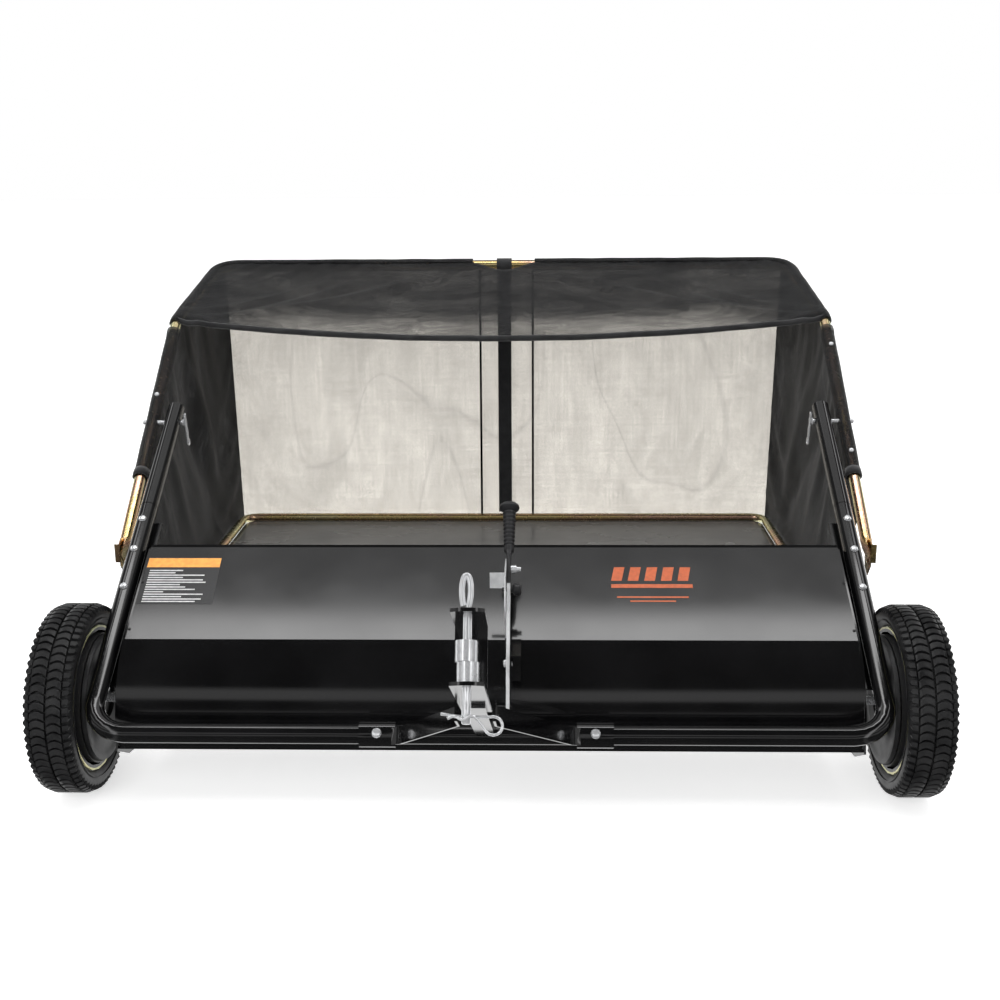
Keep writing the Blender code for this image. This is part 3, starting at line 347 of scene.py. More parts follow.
def floor_look(name):
    """The hopper's coated floor sheet: dark grey, smooth, with soft scuffs."""
    look = Look(name)
    scuff = look.noise(6.0, 6.0, (1, 2.2, 1))
    look.roughness(scuff, 0.3, 0.75, 0.20, 0.32)
    look.tones(scuff, (0.3, (0.112, 0.112, 0.110)), (0.75, (0.158, 0.156, 0.152)))
    look.bump(look.noise(600.0, 3.0), 0.12, 0.0003)
    return look.material


def webbing_look(name):
    """Flat woven strap, with ribs across it."""
    look = Look(name, Roughness=0.8, Sheen_Weight=0.25)
    ribs = look.math("SINE", look.times(look.axis("Z"), 2 * math.pi / 0.0016))
    look.tones(look.noise(50.0, 5.0), (0.3, (0.006, 0.006, 0.007)), (0.7, (0.018, 0.018, 0.019)))
    look.bump(ribs, 0.5, 0.0004)
    return look.material


def print_look(name, color):
    """Printed film on the paint: slightly uneven ink under a gloss."""
    look = Look(name, Roughness=0.3)
    lighter = tuple(min(1.0, c * 1.15) for c in color)
    darker = tuple(c * 0.82 for c in color)
    look.tones(look.noise(160.0, 4.0), (0.3, darker), (0.7, lighter))
    return look.material


def rim_look(name):
    """Black inside, with a yellow zinc lip at the bead."""
    look = Look(name, Roughness=0.25)
    y = look.math("SUBTRACT", look.axis("Y"), AXLE.y)
    z = look.math("SUBTRACT", look.axis("Z"), AXLE.z)
    radius = look.math("SQRT", look.plus(look.times(y, y), look.times(z, z)))
    lip = look.span(radius, 0.1078, 0.1082)
    gold = look.ramp(look.noise(12.0, 4.0), [(0.3, (0.70, 0.62, 0.30)), (0.7, (0.62, 0.66, 0.36))])
    inputs = {"Factor": lip, "A": (0.008, 0.008, 0.009, 1), "B": gold}
    color = look.add("ShaderNodeMix", inputs, data_type="RGBA").outputs["Result"]
    look.set(look.shader, "Base Color", color)
    look.set(look.shader, "Metallic", look.times(lip, 0.4))
    return look.material


PAINT = paint_look("gloss_black_paint")
ZINC = zinc_look("bright_zinc", 0.20, (0.86, 0.87, 0.89), 0.75)
CHROME = zinc_look("polished_zinc", 0.12, (0.92, 0.93, 0.95), 0.72)
YELLOW = yellow_zinc_look("yellow_zinc")
RUBBER = rubber_look("tyre_rubber")
PLASTIC = plastic_look("black_plastic")
BRISTLES = bristle_look("bristles")
STEEL = zinc_look("dull_zinc", 0.38, (0.84, 0.85, 0.86), 0.55)
COVER = cover_look("cover_net")
SIDE_NET = net_look("side_net", 0.07, 1.0)
SLEEVE_NET = net_look("sleeve_net", 0.36, 0.2)
BACK_NET = pale_mesh_look("rear_net")
FLOOR = floor_look("floor_sheet")
WEBBING = webbing_look("webbing")
RIM = rim_look("rim_paint")
ORANGE = print_look("orange_print", (0.45, 0.085, 0.018))
AMBER = print_look("amber_print", (0.80, 0.33, 0.06))
PALE_PRINT = print_look("pale_print", (0.55, 0.55, 0.55))
FILM = print_look("sticker_film", (0.010, 0.010, 0.011))


# CAD nodes: smooth shading and materials


def smooth_group(name, degrees):
    """A node group that joins split corners and shades smooth up to an edge angle."""
    group = bpy.data.node_groups.new(name, "GeometryNodeTree")
    for in_out in ("INPUT", "OUTPUT"):
        group.interface.new_socket("Geometry", in_out=in_out, socket_type="NodeSocketGeometry")
    nodes = Nodes(group)
    source = nodes.add("NodeGroupInput").outputs[0]
    merged = nodes.add("GeometryNodeMergeByDistance", {"Geometry": source, "Distance": 0.00001})
    faces = nodes.add("GeometryNodeSetShadeSmooth", {"Geometry": merged.outputs[0]})
    angle = nodes.add("GeometryNodeInputMeshEdgeAngle").outputs["Unsigned Angle"]
    inputs = {0: angle, 1: math.radians(degrees)}
    sharp = nodes.add("FunctionNodeCompare", inputs, operation="GREATER_THAN")
    inputs = {"Geometry": faces.outputs[0], "Selection": sharp.outputs[0], "Shade Smooth": False}
    edges = nodes.add("GeometryNodeSetShadeSmooth", inputs, domain="EDGE")
    nodes.add("NodeGroupOutput", {0: edges.outputs[0]})
    return group


SMOOTH = smooth_group("smooth_by_angle", 32)
KEEP_CREASE = smooth_group("smooth_below_crease", 7.2)


def finish_nodes():
    """Gives every CAD node that stays its material and soft shading."""
    by_start = [
        (ZINC, ("frame_bolt", "hopper_pin", "axle", "pinion", "hitch_spacer", "brush_shaft")),
        (CHROME, ("strap_bolt", "lever_pivot")),
        (STEEL, ("lever_bar", "index_plate")),
        (PLASTIC, ("ring_gear", "brush_bearing", "lock_knob")),
        (RIM, ("wheel_rim",)),
        (YELLOW, ("upper_frame", "lower_frame", "end_bracket")),
    ]
    for name, node in NODES.items():
        material = PAINT
        for choice, starts in by_start:
            if name.startswith(starts):
                material = choice
        node.data.materials.clear()
        node.data.materials.append(material)
        modifier = node.modifiers.new("smooth", "NODES")
        modifier.node_group = KEEP_CREASE if name == "hood_shell" else SMOOTH


# Shapes


def linked(name, data):
    """A new object in the scene."""
    obj = bpy.data.objects.new(name, data)
    bpy.context.scene.collection.objects.link(obj)
    return obj


def new_piece(name, mesh, material, body):
    obj = linked(name, mesh)
    mesh.materials.append(material)
    if body:
        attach(obj, body)
    return obj


def mesh_from(name, bm, sharp=None, place=None, smooth=True):
    """Ends the bmesh as a mesh, shaded sharp above an edge angle in degrees, and moved to its place."""
    bmesh.ops.recalc_face_normals(bm, faces=bm.faces)
    mesh = bpy.data.meshes.new(name)
    bm.to_mesh(mesh)
    bm.free()
    if smooth:
        mesh.shade_smooth()
    if place:
        mesh.transform(place)
    if sharp:
        mesh.set_sharp_from_angle(angle=math.radians(sharp))
    return mesh


def turns(count):
    """Angles evenly spaced round one turn."""
    return [2 * math.pi * i / count for i in range(count)]


def skin(bm, rings):
    """Joins each ring of corners to the next with four-sided faces."""
    for low, high in zip(rings, rings[1:]):
        for i, corner in enumerate(low):
            k = (i + 1) % len(low)
            bm.faces.new((corner, low[k], high[k], high[i]))


def closed_skin(bm, rings):
    skin(bm, rings)
    bm.faces.new(rings[0])
    bm.faces.new(list(reversed(rings[-1])))


def pipe(name, points, radius, material, body, sides, closed=False, radii=None):
    """A round bar or wire along the points; radii are shares of its radius."""
    curve = bpy.data.curves.new(name, "CURVE")
    curve.dimensions = "3D"
    curve.bevel_depth = radius
    curve.bevel_resolution = (sides - 4) // 2
    curve.use_fill_caps = not closed
    spline = curve.splines.new("POLY")
    spline.points.add(len(points) - 1)
    for i, point in enumerate(points):
        spline.points[i].co = (*point, 1)
        if radii:
            spline.points[i].radius = radii[i]
    spline.use_cyclic_u = closed
    spline.use_smooth = True
    guide = linked(name, curve)
    graph = bpy.context.evaluated_depsgraph_get()
    mesh = bpy.data.meshes.new_from_object(guide.evaluated_get(graph))
    bpy.data.objects.remove(guide, do_unlink=True)
    bpy.data.curves.remove(curve)
    mesh.shade_smooth()
    mesh.set_sharp_from_angle(angle=math.radians(50))
    return new_piece(name, mesh, material, body)


def turned(name, profile, place, material, body, steps=48):
    """(radius, height) points turned about local Z, then moved by the place matrix."""
    bm = bmesh.new()
    rings = []
    for r, h in profile:
        rings.append([bm.verts.new((r * math.cos(a), r * math.sin(a), h)) for a in turns(steps)])
    skin(bm, rings)
    for ring in (rings[0], rings[-1]):
        bm.faces.new(ring)
    bmesh.ops.remove_doubles(bm, verts=bm.verts, dist=0.00001)
    return new_piece(name, mesh_from(name, bm, 40, place), material, body)


def lerp(a, b, t):
    return a + (b - a) * t


def spread(count, low=0.0, high=1.0):
    return [lerp(low, high, i / (count - 1)) for i in range(count)]


def rough(point, scale, seed):
    """Smooth noise in -1..1 at the point."""
    return noise.noise(Vector(point) * scale + Vector((seed, seed * 1.7, -seed)))


# Wheels


def tread_block(bm, corners, top, base, dome):
    """One lug, from (x, angle) corners, between two radii and drawn in a little at the top."""
    centre_x = sum(x for x, _ in corners) / len(corners)
    centre_a = sum(a for _, a in corners) / len(corners)
    rings = []
    for radius, shrink in ((base, 1.0), (top - 0.0008, 0.97), (top, 0.86)):
        ring = []
        for x, a in corners:
            px = lerp(centre_x, x, shrink)
            pa = lerp(centre_a, a, shrink)
            r = radius - dome * max(0.0, abs(px) - 0.022) ** 2
            ring.append(bm.verts.new((px, r * math.cos(pa), r * math.sin(pa))))
        rings.append(ring)
    skin(bm, rings)
    bm.faces.new(rings[-1])


def tyre_section():
    """(x, radius) of the carcass, from bead to bead over the crown."""
    half = [(0.0262, 0.1065), (0.0262, 0.1124), (0.0300, 0.1155), (0.0330, 0.1200), (0.0348, 0.1270)]
    half += [(0.0340, 0.1325), (0.0310, 0.1365), (0.0250, 0.1384), (0.0120, 0.1390)]
    return [(-x, r) for x, r in half] + [(0.0, 0.1390)] + [(x, r) for x, r in reversed(half)]


# Lugs as (x, share of a pitch) corners
CHEVRON = [(0.0012, 0.34), (0.0070, 0.09), (0.0125, 0.00), (0.0180, 0.10), (0.0228, 0.36)]
CHEVRON += [(0.0228, 1.14), (0.0180, 0.86), (0.0125, 0.76), (0.0070, 0.85), (0.0012, 1.12)]
SHOULDER = [(0.0240, 0.20), (0.0322, 0.12), (0.0344, 0.45), (0.0322, 0.80), (0.0240, 0.90)]


def make_tyre(side_name, s):
    """A carcass with zigzag rows, shoulder lugs and ribs on the side wall."""
    bm = bmesh.new()
    rings = []
    for angle in turns(TREAD_PITCHES * 3):
        ring = [(x, r * math.cos(angle), r * math.sin(angle)) for x, r in tyre_section()]
        rings.append([bm.verts.new(point) for point in ring])
    skin(bm, rings + rings[:1])
    step = 2 * math.pi / TREAD_PITCHES
    for i in range(TREAD_PITCHES):
        for row in (-1, 1):
            at = i + (0.5 if row > 0 else 0.0)
            corners = [(row * x, (at + a) * step) for x, a in CHEVRON]
            tread_block(bm, corners, WHEEL_R, WHEEL_R - TREAD_DEPTH - 0.001, 0.0)
            corners = [(row * x, (at + a * 0.94) * step) for x, a in SHOULDER]
            tread_block(bm, corners, WHEEL_R - 0.0012, WHEEL_R - 0.014, 30.0)
    mesh = mesh_from("tyre", bm, 38, Matrix.Translation((s * WHEEL_X, AXLE.y, AXLE.z)))
    body = "wheel_" + side_name
    tyre = new_piece("tyre_tread_" + side_name, mesh, RUBBER, body)
    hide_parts("tyre_" + side_name)
    for face, level in ((-1, "inner"), (1, "outer")):
        x = s * WHEEL_X + face * RIB_X
        points = [(x, AXLE.y + RIB_R * math.cos(a), AXLE.z + RIB_R * math.sin(a)) for a in turns(96)]
        pipe(f"tyre_{level}_rib_{side_name}", points, 0.0009, RUBBER, body, 8, True)


def dished(name, profile, thick, place, material, body, steps=48):
    """A turned sheet: the profile and the same profile a thickness away."""
    other = [(r, h + thick) for r, h in reversed(profile)]
    turned(name, profile + other + profile[:1], place, material, body, steps)


def make_hub(side_name, s):
    """The dished outer face of the wheel, and the fixed dust cover over its gear drum."""
    turn = Matrix.Rotation(s * math.pi / 2, 4, "Y")
    wheel = Matrix.Translation((s * WHEEL_X, AXLE.y, AXLE.z)) @ turn
    dish = [(0.0185, 0.0026), (0.032, 0.0045), (0.060, 0.0050), (0.088, 0.0050)]
    dish += [(0.098, 0.0030), (0.1035, 0.0018)]
    dished("wheel_dish_" + side_name, dish, -0.0016, wheel, PAINT, "wheel_" + side_name)
    chassis = Matrix.Translation((s * DUST_X, AXLE.y, AXLE.z)) @ turn
    cover = [(0.0150, 0.0), (0.030, 0.0004), (0.034, -0.0040), (0.058, -0.0052), (0.062, -0.0020)]
    cover += [(0.086, -0.0016), (0.090, -0.0040), (0.0955, -0.0036), (0.0975, 0.0006)]
    dished("dust_cover_" + side_name, cover, 0.0014, chassis, RUBBER, "chassis", 64)


# Brush


def make_brush():
    """Four rows of packed tufts on the shaft."""
    rng = np.random.default_rng(7)
    half = 0.528
    root = 0.020
    tip = 0.1095
    for row in range(4):
        bm = bmesh.new()
        holder = bmesh.ops.create_cube(bm, size=1)
        for vert in holder["verts"]:
            vert.co = (vert.co.x * 2 * half, vert.co.y * 0.014, root + 0.006 + vert.co.z * 0.012)
        for x in spread(190, -half + 0.004, half - 0.004):
            for lane in (-0.0030, 0.0030):
                lean = rng.normal(0, 0.0035, 2)
                length = tip - abs(rng.normal(0, 0.0018))
                base = Vector((x + rng.normal(0, 0.0006), lane, root + 0.010))
                end = Vector((x + lean[0], lane * 1.3 + lean[1], length))
                shape = {"segments": 5, "radius1": 0.0016, "radius2": 0.0023, "depth": 1}
                tuft = bmesh.ops.create_cone(bm, cap_ends=True, **shape)
                for vert in tuft["verts"]:
                    across = Vector((vert.co.x, vert.co.y, 0))
                    vert.co = base.lerp(end, vert.co.z + 0.5) + across
        place = Matrix.Translation(BRUSH) @ Matrix.Rotation(math.pi / 2 * (row + 0.5), 4, "X")
        mesh = mesh_from("tufts", bm, 50, place)
        piece = new_piece(f"bristle_row_{row + 1}", mesh, BRISTLES, "brush")
        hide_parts(f"brush_strip_{row + 1}")


# Hopper fabric


def bent(points, radius):
    """A path through the points with each corner bent to the radius, as the tubes are."""
    path = [points[0]]
    for before, corner, after in zip(points, points[1:], points[2:]):
        back = (before - corner).normalized()
        ahead = (after - corner).normalized()
        half = back.angle(ahead) / 2
        centre = corner + (back + ahead).normalized() * radius / math.sin(half)
        start = corner + back * radius / math.tan(half) - centre
        end = corner + ahead * radius / math.tan(half) - centre
        path += [centre + start.slerp(end, share) * radius for share in spread(9)]
    path.append(points[-1])
    return path


class Line:
    """A polyline that gives points by their share of its length."""

    def __init__(self, points):
        self.points = points
        self.marks = [0.0]
        for a, b in zip(points, points[1:]):
            self.marks.append(self.marks[-1] + (b - a).length)

    def at(self, share):
        reach = min(max(share, 0.0), 1.0) * self.marks[-1]
        for i, (low, high) in enumerate(zip(self.marks, self.marks[1:])):
            if reach <= high:
                return self.points[i].lerp(self.points[i + 1], (reach - low) / max(high - low, 1e-9))
        return self.points[-1].copy()


FOOT = Vector((SIDE_X, *SIDE_LOW))
FRONT_CORNER = Vector((SIDE_X, *SIDE_CORNER))
REAR_CORNER = Vector((REAR_X, *TOP_REAR))
UPPER_PATH = bent([FOOT, FRONT_CORNER, REAR_CORNER, Vector((0, *TOP_REAR))], UPPER_BEND)


def split_path(path, y_start):
    """The half path from the front corner on, cut in the middle of its rear bend."""
    kept = [p for p in path if p.y > y_start]
    middle = min(range(len(kept)), key=lambda i: (kept[i] - REAR_CORNER).length)
    return Line(kept[: middle + 1]), Line(kept[middle:])


SIDE_RUN, REAR_RUN = split_path(UPPER_PATH, SIDE_CORNER[0] - 0.012)
WRAP = UPPER_R + TUCK


def drape(obj, pinned, slack, weight):
    """Lets the cloth hang between its pinned points, and keeps the shape it settles in."""
    start = np.empty(len(obj.data.vertices) * 3)
    obj.data.vertices.foreach_get("co", start)
    group = obj.vertex_groups.new(name="pin")
    group.add(pinned, 1.0, "REPLACE")
    cloth = obj.modifiers.new("cloth", "CLOTH")
    settings = cloth.settings
    settings.vertex_group_mass = "pin"
    settings.quality = 4
    settings.mass = 0.15
    settings.tension_stiffness = 12
    settings.compression_stiffness = 12
    settings.shear_stiffness = 4
    settings.bending_stiffness = 0.15
    settings.air_damping = 3
    settings.shrink_min = -slack
    settings.effector_weights.gravity = weight
    cloth.collision_settings.use_collision = False
    cloth.point_cache.frame_end = DRAPE_FRAMES
    scene = bpy.context.scene
    for frame_number in range(1, DRAPE_FRAMES + 1):
        scene.frame_set(frame_number)
    mesh = obj.evaluated_get(bpy.context.evaluated_depsgraph_get()).data
    end = np.empty(len(start))
    mesh.vertices.foreach_get("co", end)
    moved = (end - start).reshape(-1, 3)
    length = np.linalg.norm(moved, axis=1, keepdims=True)
    moved *= DRAPE_MOST * np.tanh(length / DRAPE_MOST) / np.maximum(length, 1e-9)
    obj.modifiers.remove(cloth)
    obj.vertex_groups.remove(group)
    obj.data.vertices.foreach_set("co", (start.reshape(-1, 3) + moved).ravel())
    obj.data.update()
    scene.frame_set(1)


def cloth_piece(
    name, rows, material, thickness, slack=None, weight=1.0, replaced=None
):
    """Cloth through rows of points. With a slack it first hangs from its outer edge."""
    wide = len(rows[0])
    tall = len(rows)
    bm = bmesh.new()
    grid = [[bm.verts.new(point) for point in row] for row in rows]
    for low, high in zip(grid, grid[1:]):
        for i in range(wide - 1):
            bm.faces.new((low[i], low[i + 1], high[i + 1], high[i]))
    obj = new_piece(name, mesh_from(name, bm), material, None)
    if slack:
        ends = (0, wide - 1)
        edge = [i for i in range(wide * tall) if i % wide in ends or i // wide in (0, tall - 1)]
        drape(obj, edge, slack, weight)
    thick = obj.modifiers.new("thickness", "SOLIDIFY")
    thick.thickness = thickness
    thick.offset = 0
    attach(obj, "hopper")
    if replaced:
        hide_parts(replaced)


def grid(up, across, place):
    """Rows of points, each placed by its share up and its share across."""
    return [[place(b, a) for a in across] for b in up]


def bell(x, centre, width):
    return math.exp(-(((x - centre) / width) ** 2))


def cover_point(share, t):
    """A point of the top cover: share is -1..1 across, t is 0 at the hem and 1 at the rear tube."""
    s = 1 if share >= 0 else -1
    across = abs(share)
    corner = SIDE_RUN.at(0)
    middle = Vector((0, corner.y, corner.z)).lerp(REAR_RUN.at(1), t)
    sag = Vector((0, 0.012, -HEM_SAG)) * (1 - across**2)
    rear = REAR_RUN.at(1 - across)
    notch = Vector((0, 0.032, 0.020)) * bell(s * rear.x, STRAP_X, 0.058)
    bend = rear - notch - REAR_RUN.at(1).lerp(SIDE_RUN.at(1), across)
    point = middle.lerp(SIDE_RUN.at(t), across) + sag * (1 - t) ** 1.3 + bend * t
    x = s * point.x
    pull = abs(across - (1 - 0.93 * t))
    ridge = 0.0085 * bell(pull, 0, 0.045) * math.sin(math.pi * t) ** 0.7
    second = 0.0060 * bell(abs(across - (1 - 0.62 * t)), 0.05, 0.035) * math.sin(math.pi * t)
    wave = 0.0028 * rough((x, 0.4 * t, 0), 9.0, 3.0) * math.sin(math.pi * min(1.0, t + 0.12))
    gathers = 0.0022 * math.sin(90 * across) * max(0.0, across - 0.86) / 0.14 * (1 - t) ** 3
    belly = 0.008 * (1 - across**2) * math.sin(math.pi * t)
    return Vector((x, point.y, point.z + WRAP + ridge + second + wave + gathers - belly))


def make_cover():
    """The top cover: one sheet that hangs from the tubes, with its front hem free."""
    columns = spread(101, -1, 1)
    rows = [[off_axle(*cover_point(share, t)) for share in columns] for t in spread(36)]
    cloth_piece("bag_cover", rows, COVER, CLOTH, slack=0.006, weight=0.6, replaced="bag_canopy")
    for name, s in (("cover_turn_left", -1), ("cover_turn_right", 1)):
        path = [SIDE_RUN.at(t) for t in spread(40)] + [REAR_RUN.at(t) for t in spread(60)][1:]
        rows = []
        for k, point in enumerate(path):
            ahead = path[min(k + 1, len(path) - 1)] - path[max(k - 1, 0)]
            outward = Vector((ahead.y, -ahead.x, 0)).normalized()
            up = outward.cross(ahead).normalized()
            up = up if up.z > 0 else -up
            row = []
            for turn in spread(13, -0.34, 0.92):
                angle = math.pi / 2 - math.pi * turn
                pucker = 0.0008 * rough((k * 0.11, turn * 1.4, s), 2.0, 4.0)
                radius = WRAP + 0.0004 + pucker
                p = point + outward * radius * math.cos(angle) + up * radius * math.sin(angle)
                row.append(off_axle(s * p.x, p.y, p.z))
            rows.append(row)
            if abs(s * point.x - STRAP_X) <= NOTCH_HALF:
                break
        cloth_piece(name, rows, COVER, CLOTH)


def make_cover_hem():
    """The doubled band along the cover's front edge."""

    def place(drop, share):
        ripple = 0.0010 * math.sin(47 * share) + 0.0016 * rough((share, 0, 0), 8.0, 9.0)
        roll = 0.0030 * math.sin(math.pi * drop)
        shift = Vector((0, -0.0006 + ripple * drop - roll, -HEM_DROP * drop))
        return off_axle(*(cover_point(share, 0.0) + shift))

    rows = grid(spread(6), spread(121, -0.998, 0.998), place)
    cloth_piece("cover_hem", rows, WEBBING, 0.0016)
    for name, level in (("hem_stitches_upper", 0.16), ("hem_stitches_lower", 0.84)):
        bm = bmesh.new()
        for share in spread(300, -0.99, 0.99):
            edge = cover_point(share, 0.0)
            roll = 0.0030 * math.sin(math.pi * level)
            spot = off_axle(*(edge + Vector((0, -0.0016 - roll, -HEM_DROP * level))))
            stitch = bmesh.ops.create_cube(bm, size=1)
            for vert in stitch["verts"]:
                vert.co = spot + Vector((vert.co.x * 0.0026, vert.co.y * 0.0008, vert.co.z * 0.0006))
        new_piece(name, mesh_from(name, bm, smooth=False), PLASTIC, "hopper")


def side_tube(y):
    """The middle of the side tube at a place along the machine."""
    return FOOT.lerp(FRONT_CORNER, (y - SIDE_LOW[0]) / (SIDE_CORNER[0] - SIDE_LOW[0]))


def make_sleeves():
    """Net pockets round the side tubes, gathered a little along their length, with press studs."""
    count = 46
    stud = [(0.0, 0.0030), (0.0024, 0.0027), (0.0040, 0.0012), (0.0042, 0.0)]
    facing = Matrix.Rotation(math.radians(52), 4, "X") @ Matrix.Translation((0, 0, WRAP + 0.0012))
    for side_name, s in SIDES:
        rows = []
        for i, y in enumerate(spread(count, SLEEVE_START, SLEEVE_END)):
            centre = side_tube(y)
            row = []
            for k in range(25):
                angle = 2 * math.pi * k / 24
                swell = WRAP + 0.0004 + 0.0009 * rough((y, k % 24 / 9.0, s), 26.0, 5.0)
                swell += 0.0008 * (min(i, count - 1 - i) < 2)
                out = math.cos(angle) * swell
                up = math.sin(angle) * swell
                row.append(off_axle(s * (centre.x + out), centre.y - up * 0.62, centre.z + up * 0.78))
            rows.append(row)
        cloth_piece("tube_sleeve_" + side_name, rows, SLEEVE_NET, 0.0008)
        cloth_piece("sleeve_cuff_" + side_name, rows[:3], WEBBING, 0.0024)
        for i, y in enumerate(STUD_PLACES[side_name]):
            centre = side_tube(y)
            place = Matrix.Translation(off_axle(s * centre.x, centre.y, centre.z)) @ facing
            turned(f"press_stud_{side_name}_{i + 1}", stud, place, CHROME, "hopper", 20)


def make_tube_ends():
    """The side tubes' flattened ends, which reach down beside the end brackets."""
    along = (FOOT - FRONT_CORNER).normalized()
    across = Vector((0, -along.z, along.y))
    # How far past the tube's end, half width, half depth and shift outwards of each ring
    sections = [
        (-0.004, UPPER_R, UPPER_R, 0.0),
        (0.0005, UPPER_R, UPPER_R, 0.0),
        (0.010, 0.0040, 0.0118, -0.0036),
        (0.018, 0.0016, 0.0128, -0.0024),
        (0.034, 0.0014, 0.0126, -0.0022),
        (0.038, 0.0014, 0.0090, -0.0022),
    ]
    for side_name, s in SIDES:
        bm = bmesh.new()
        rings = []
        for reach, half_x, half_y, shift in sections:
            ring = []
            for angle in turns(28):
                point = FOOT + along * reach + across * half_y * math.sin(angle)
                point.x += half_x * math.cos(angle) + shift
                ring.append(bm.verts.new(off_axle(s * point.x, point.y, point.z)))
            rings.append(ring)
        closed_skin(bm, rings)
        mesh = mesh_from("tube_end", bm, 40)
        new_piece("tube_end_" + side_name, mesh, YELLOW, "hopper")


def side_edge(a):
    """The upper edge of a side: along the side tube, then along the cover's run to the rear bend."""
    split = 0.58
    if a < split:
        return side_tube(SLEEVE_START - 0.045).lerp(SIDE_RUN.at(0), a / split)
    return SIDE_RUN.at((a - split) / (1 - split))


def back_edge(b):
    """The corner where a side meets the back: b is 0 at the top and 1 at the floor."""
    top = SIDE_RUN.at(1) + Vector((0, WRAP, 0))
    foot = Vector((FLOOR_X + LOWER_R - 0.004, FLOOR_REAR + LOWER_R - 0.002, BAG_FOOT_Z))
    return top.lerp(foot, b)


def make_sides():
    """The bag's sides: they hang in folds from the tubes and draw in to the floor."""

    def place(b, a):
        top = side_edge(a) + Vector((0.001, 0, -WRAP))
        foot = Vector((FLOOR_X + LOWER_R + 0.003, lerp(0.243, FLOOR_REAR, a), BAG_FOOT_Z))
        closing = max(0.0, (a - 0.86) / 0.14) ** 2
        point = top.lerp(foot, b).lerp(back_edge(b), closing)
        hang = math.sin(math.pi * b**0.8) * min(1.0, (1 - a) * 9)
        long_fold = 0.0150 * bell(a - 0.36 - 0.50 * b, 0, 0.060)
        long_fold -= 0.0105 * bell(a - 0.58 - 0.30 * b, 0, 0.045)
        fine = 0.0035 * math.sin(2 * math.pi * (6.1 * a - 0.8 * b) + 2.0 * s)
        soft = 0.0060 * rough((a * 1.6, b * 0.7, s), 4.0, 2.0)
        point.x += hang * (long_fold + fine + soft - 0.004)
        return off_axle(s * point.x, point.y, point.z)

    for side_name, s in SIDES:
        rows = grid(spread(34), spread(76), place)
        wall = "bag_wall_" + side_name
        cloth_piece(wall, rows, SIDE_NET, CLOTH, slack=0.010, replaced="bag_side_" + side_name)


def make_back():
    """The see-through back, slack enough to crease between its corners and the strap."""

    def place(b, share):
        edge = back_edge(b)
        near_edge = max(0.0, (abs(share) - 0.94) / 0.06) ** 2
        x = share * edge.x
        y = lerp(lerp(TOP_REAR[0] + WRAP, FLOOR_REAR + LOWER_R + 0.001, b), edge.y, near_edge)
        z = lerp(lerp(TOP_REAR[1], BAG_FOOT_Z, b), edge.z, near_edge)
        hang = math.sin(math.pi * b) ** 0.6 * (1 - abs(share) ** 6)
        soft = 0.0050 * rough((x * 1.5, 0, z), 5.0, 1.0)
        fine = 0.0022 * rough((x * 2.2 + z, 0, z * 0.8 - x * 0.4), 14.0, 4.0)
        return off_axle(x, y + hang * (soft + fine + 0.004), z)

    rows = grid(spread(62), spread(121, -1, 1), place)
    cloth_piece("bag_back", rows, BACK_NET, 0.0006, 0.010, replaced="bag_rear_panel")


def make_strap():
    """The centre strap: it loops over the rear tube and runs down inside the back."""
    loop = WRAP + 0.0006
    path = []
    for turn in spread(15, -35, 205):
        angle = math.radians(turn)
        path.append((TOP_REAR[0] + loop * math.cos(angle), TOP_REAR[1] + loop * math.sin(angle)))
    path.append((TOP_REAR[0] - 0.0070, TOP_REAR[1] - 0.018))
    for b in spread(22, 0.06, 0.975):
        y = lerp(TOP_REAR[0], FLOOR_REAR, b) - 0.0035
        z = lerp(TOP_REAR[1], FLOOR_Z, b)
        path.append((y + 0.0012 * math.sin(9 * b), z + 0.004 * (1 - b)))
    rows = []
    for y, z in path:
        wide = STRAP_HALF + 0.0015 * min(1.0, max(0.0, (z - 0.700) / 0.01))
        rows.append([off_axle(STRAP_X + share * wide, y, z) for share in spread(5, -1, 1)])
    cloth_piece("bag_strap", rows, WEBBING, 0.0016, replaced="centre_strap")


def make_floor_sheet():
    """The floor, slightly dished between the lower tubes."""
    half = FLOOR_X - LOWER_R + 0.001
    rear = FLOOR_REAR - LOWER_R + 0.001
    level = FLOOR_Z - 0.0055

    def place(t, share):
        y = lerp(FLOOR_FRONT, rear, t)
        x = share * (half - max(0.0, y - (rear - 0.022)) * 0.8)
        dish = 0.0025 * (1 - share**4) * math.sin(math.pi * t)
        return off_axle(x, y, level - dish + 0.0012 * rough((x, y, 0), 9.0, 6.0))

    rows = grid(spread(46), spread(90, -1, 1), place)
    cloth_piece("bag_floor_sheet", rows, FLOOR, 0.0016, replaced="bag_floor")


# Hitch hardware and small fasteners


def tongue_matrix():
    """From the tongue's own frame, with Z square to it, to the row frame."""
    slope = math.atan2(PIN_UP.y, PIN_UP.z)
    return Matrix.Translation(TONGUE) @ Matrix.Rotation(-slope, 4, "X")


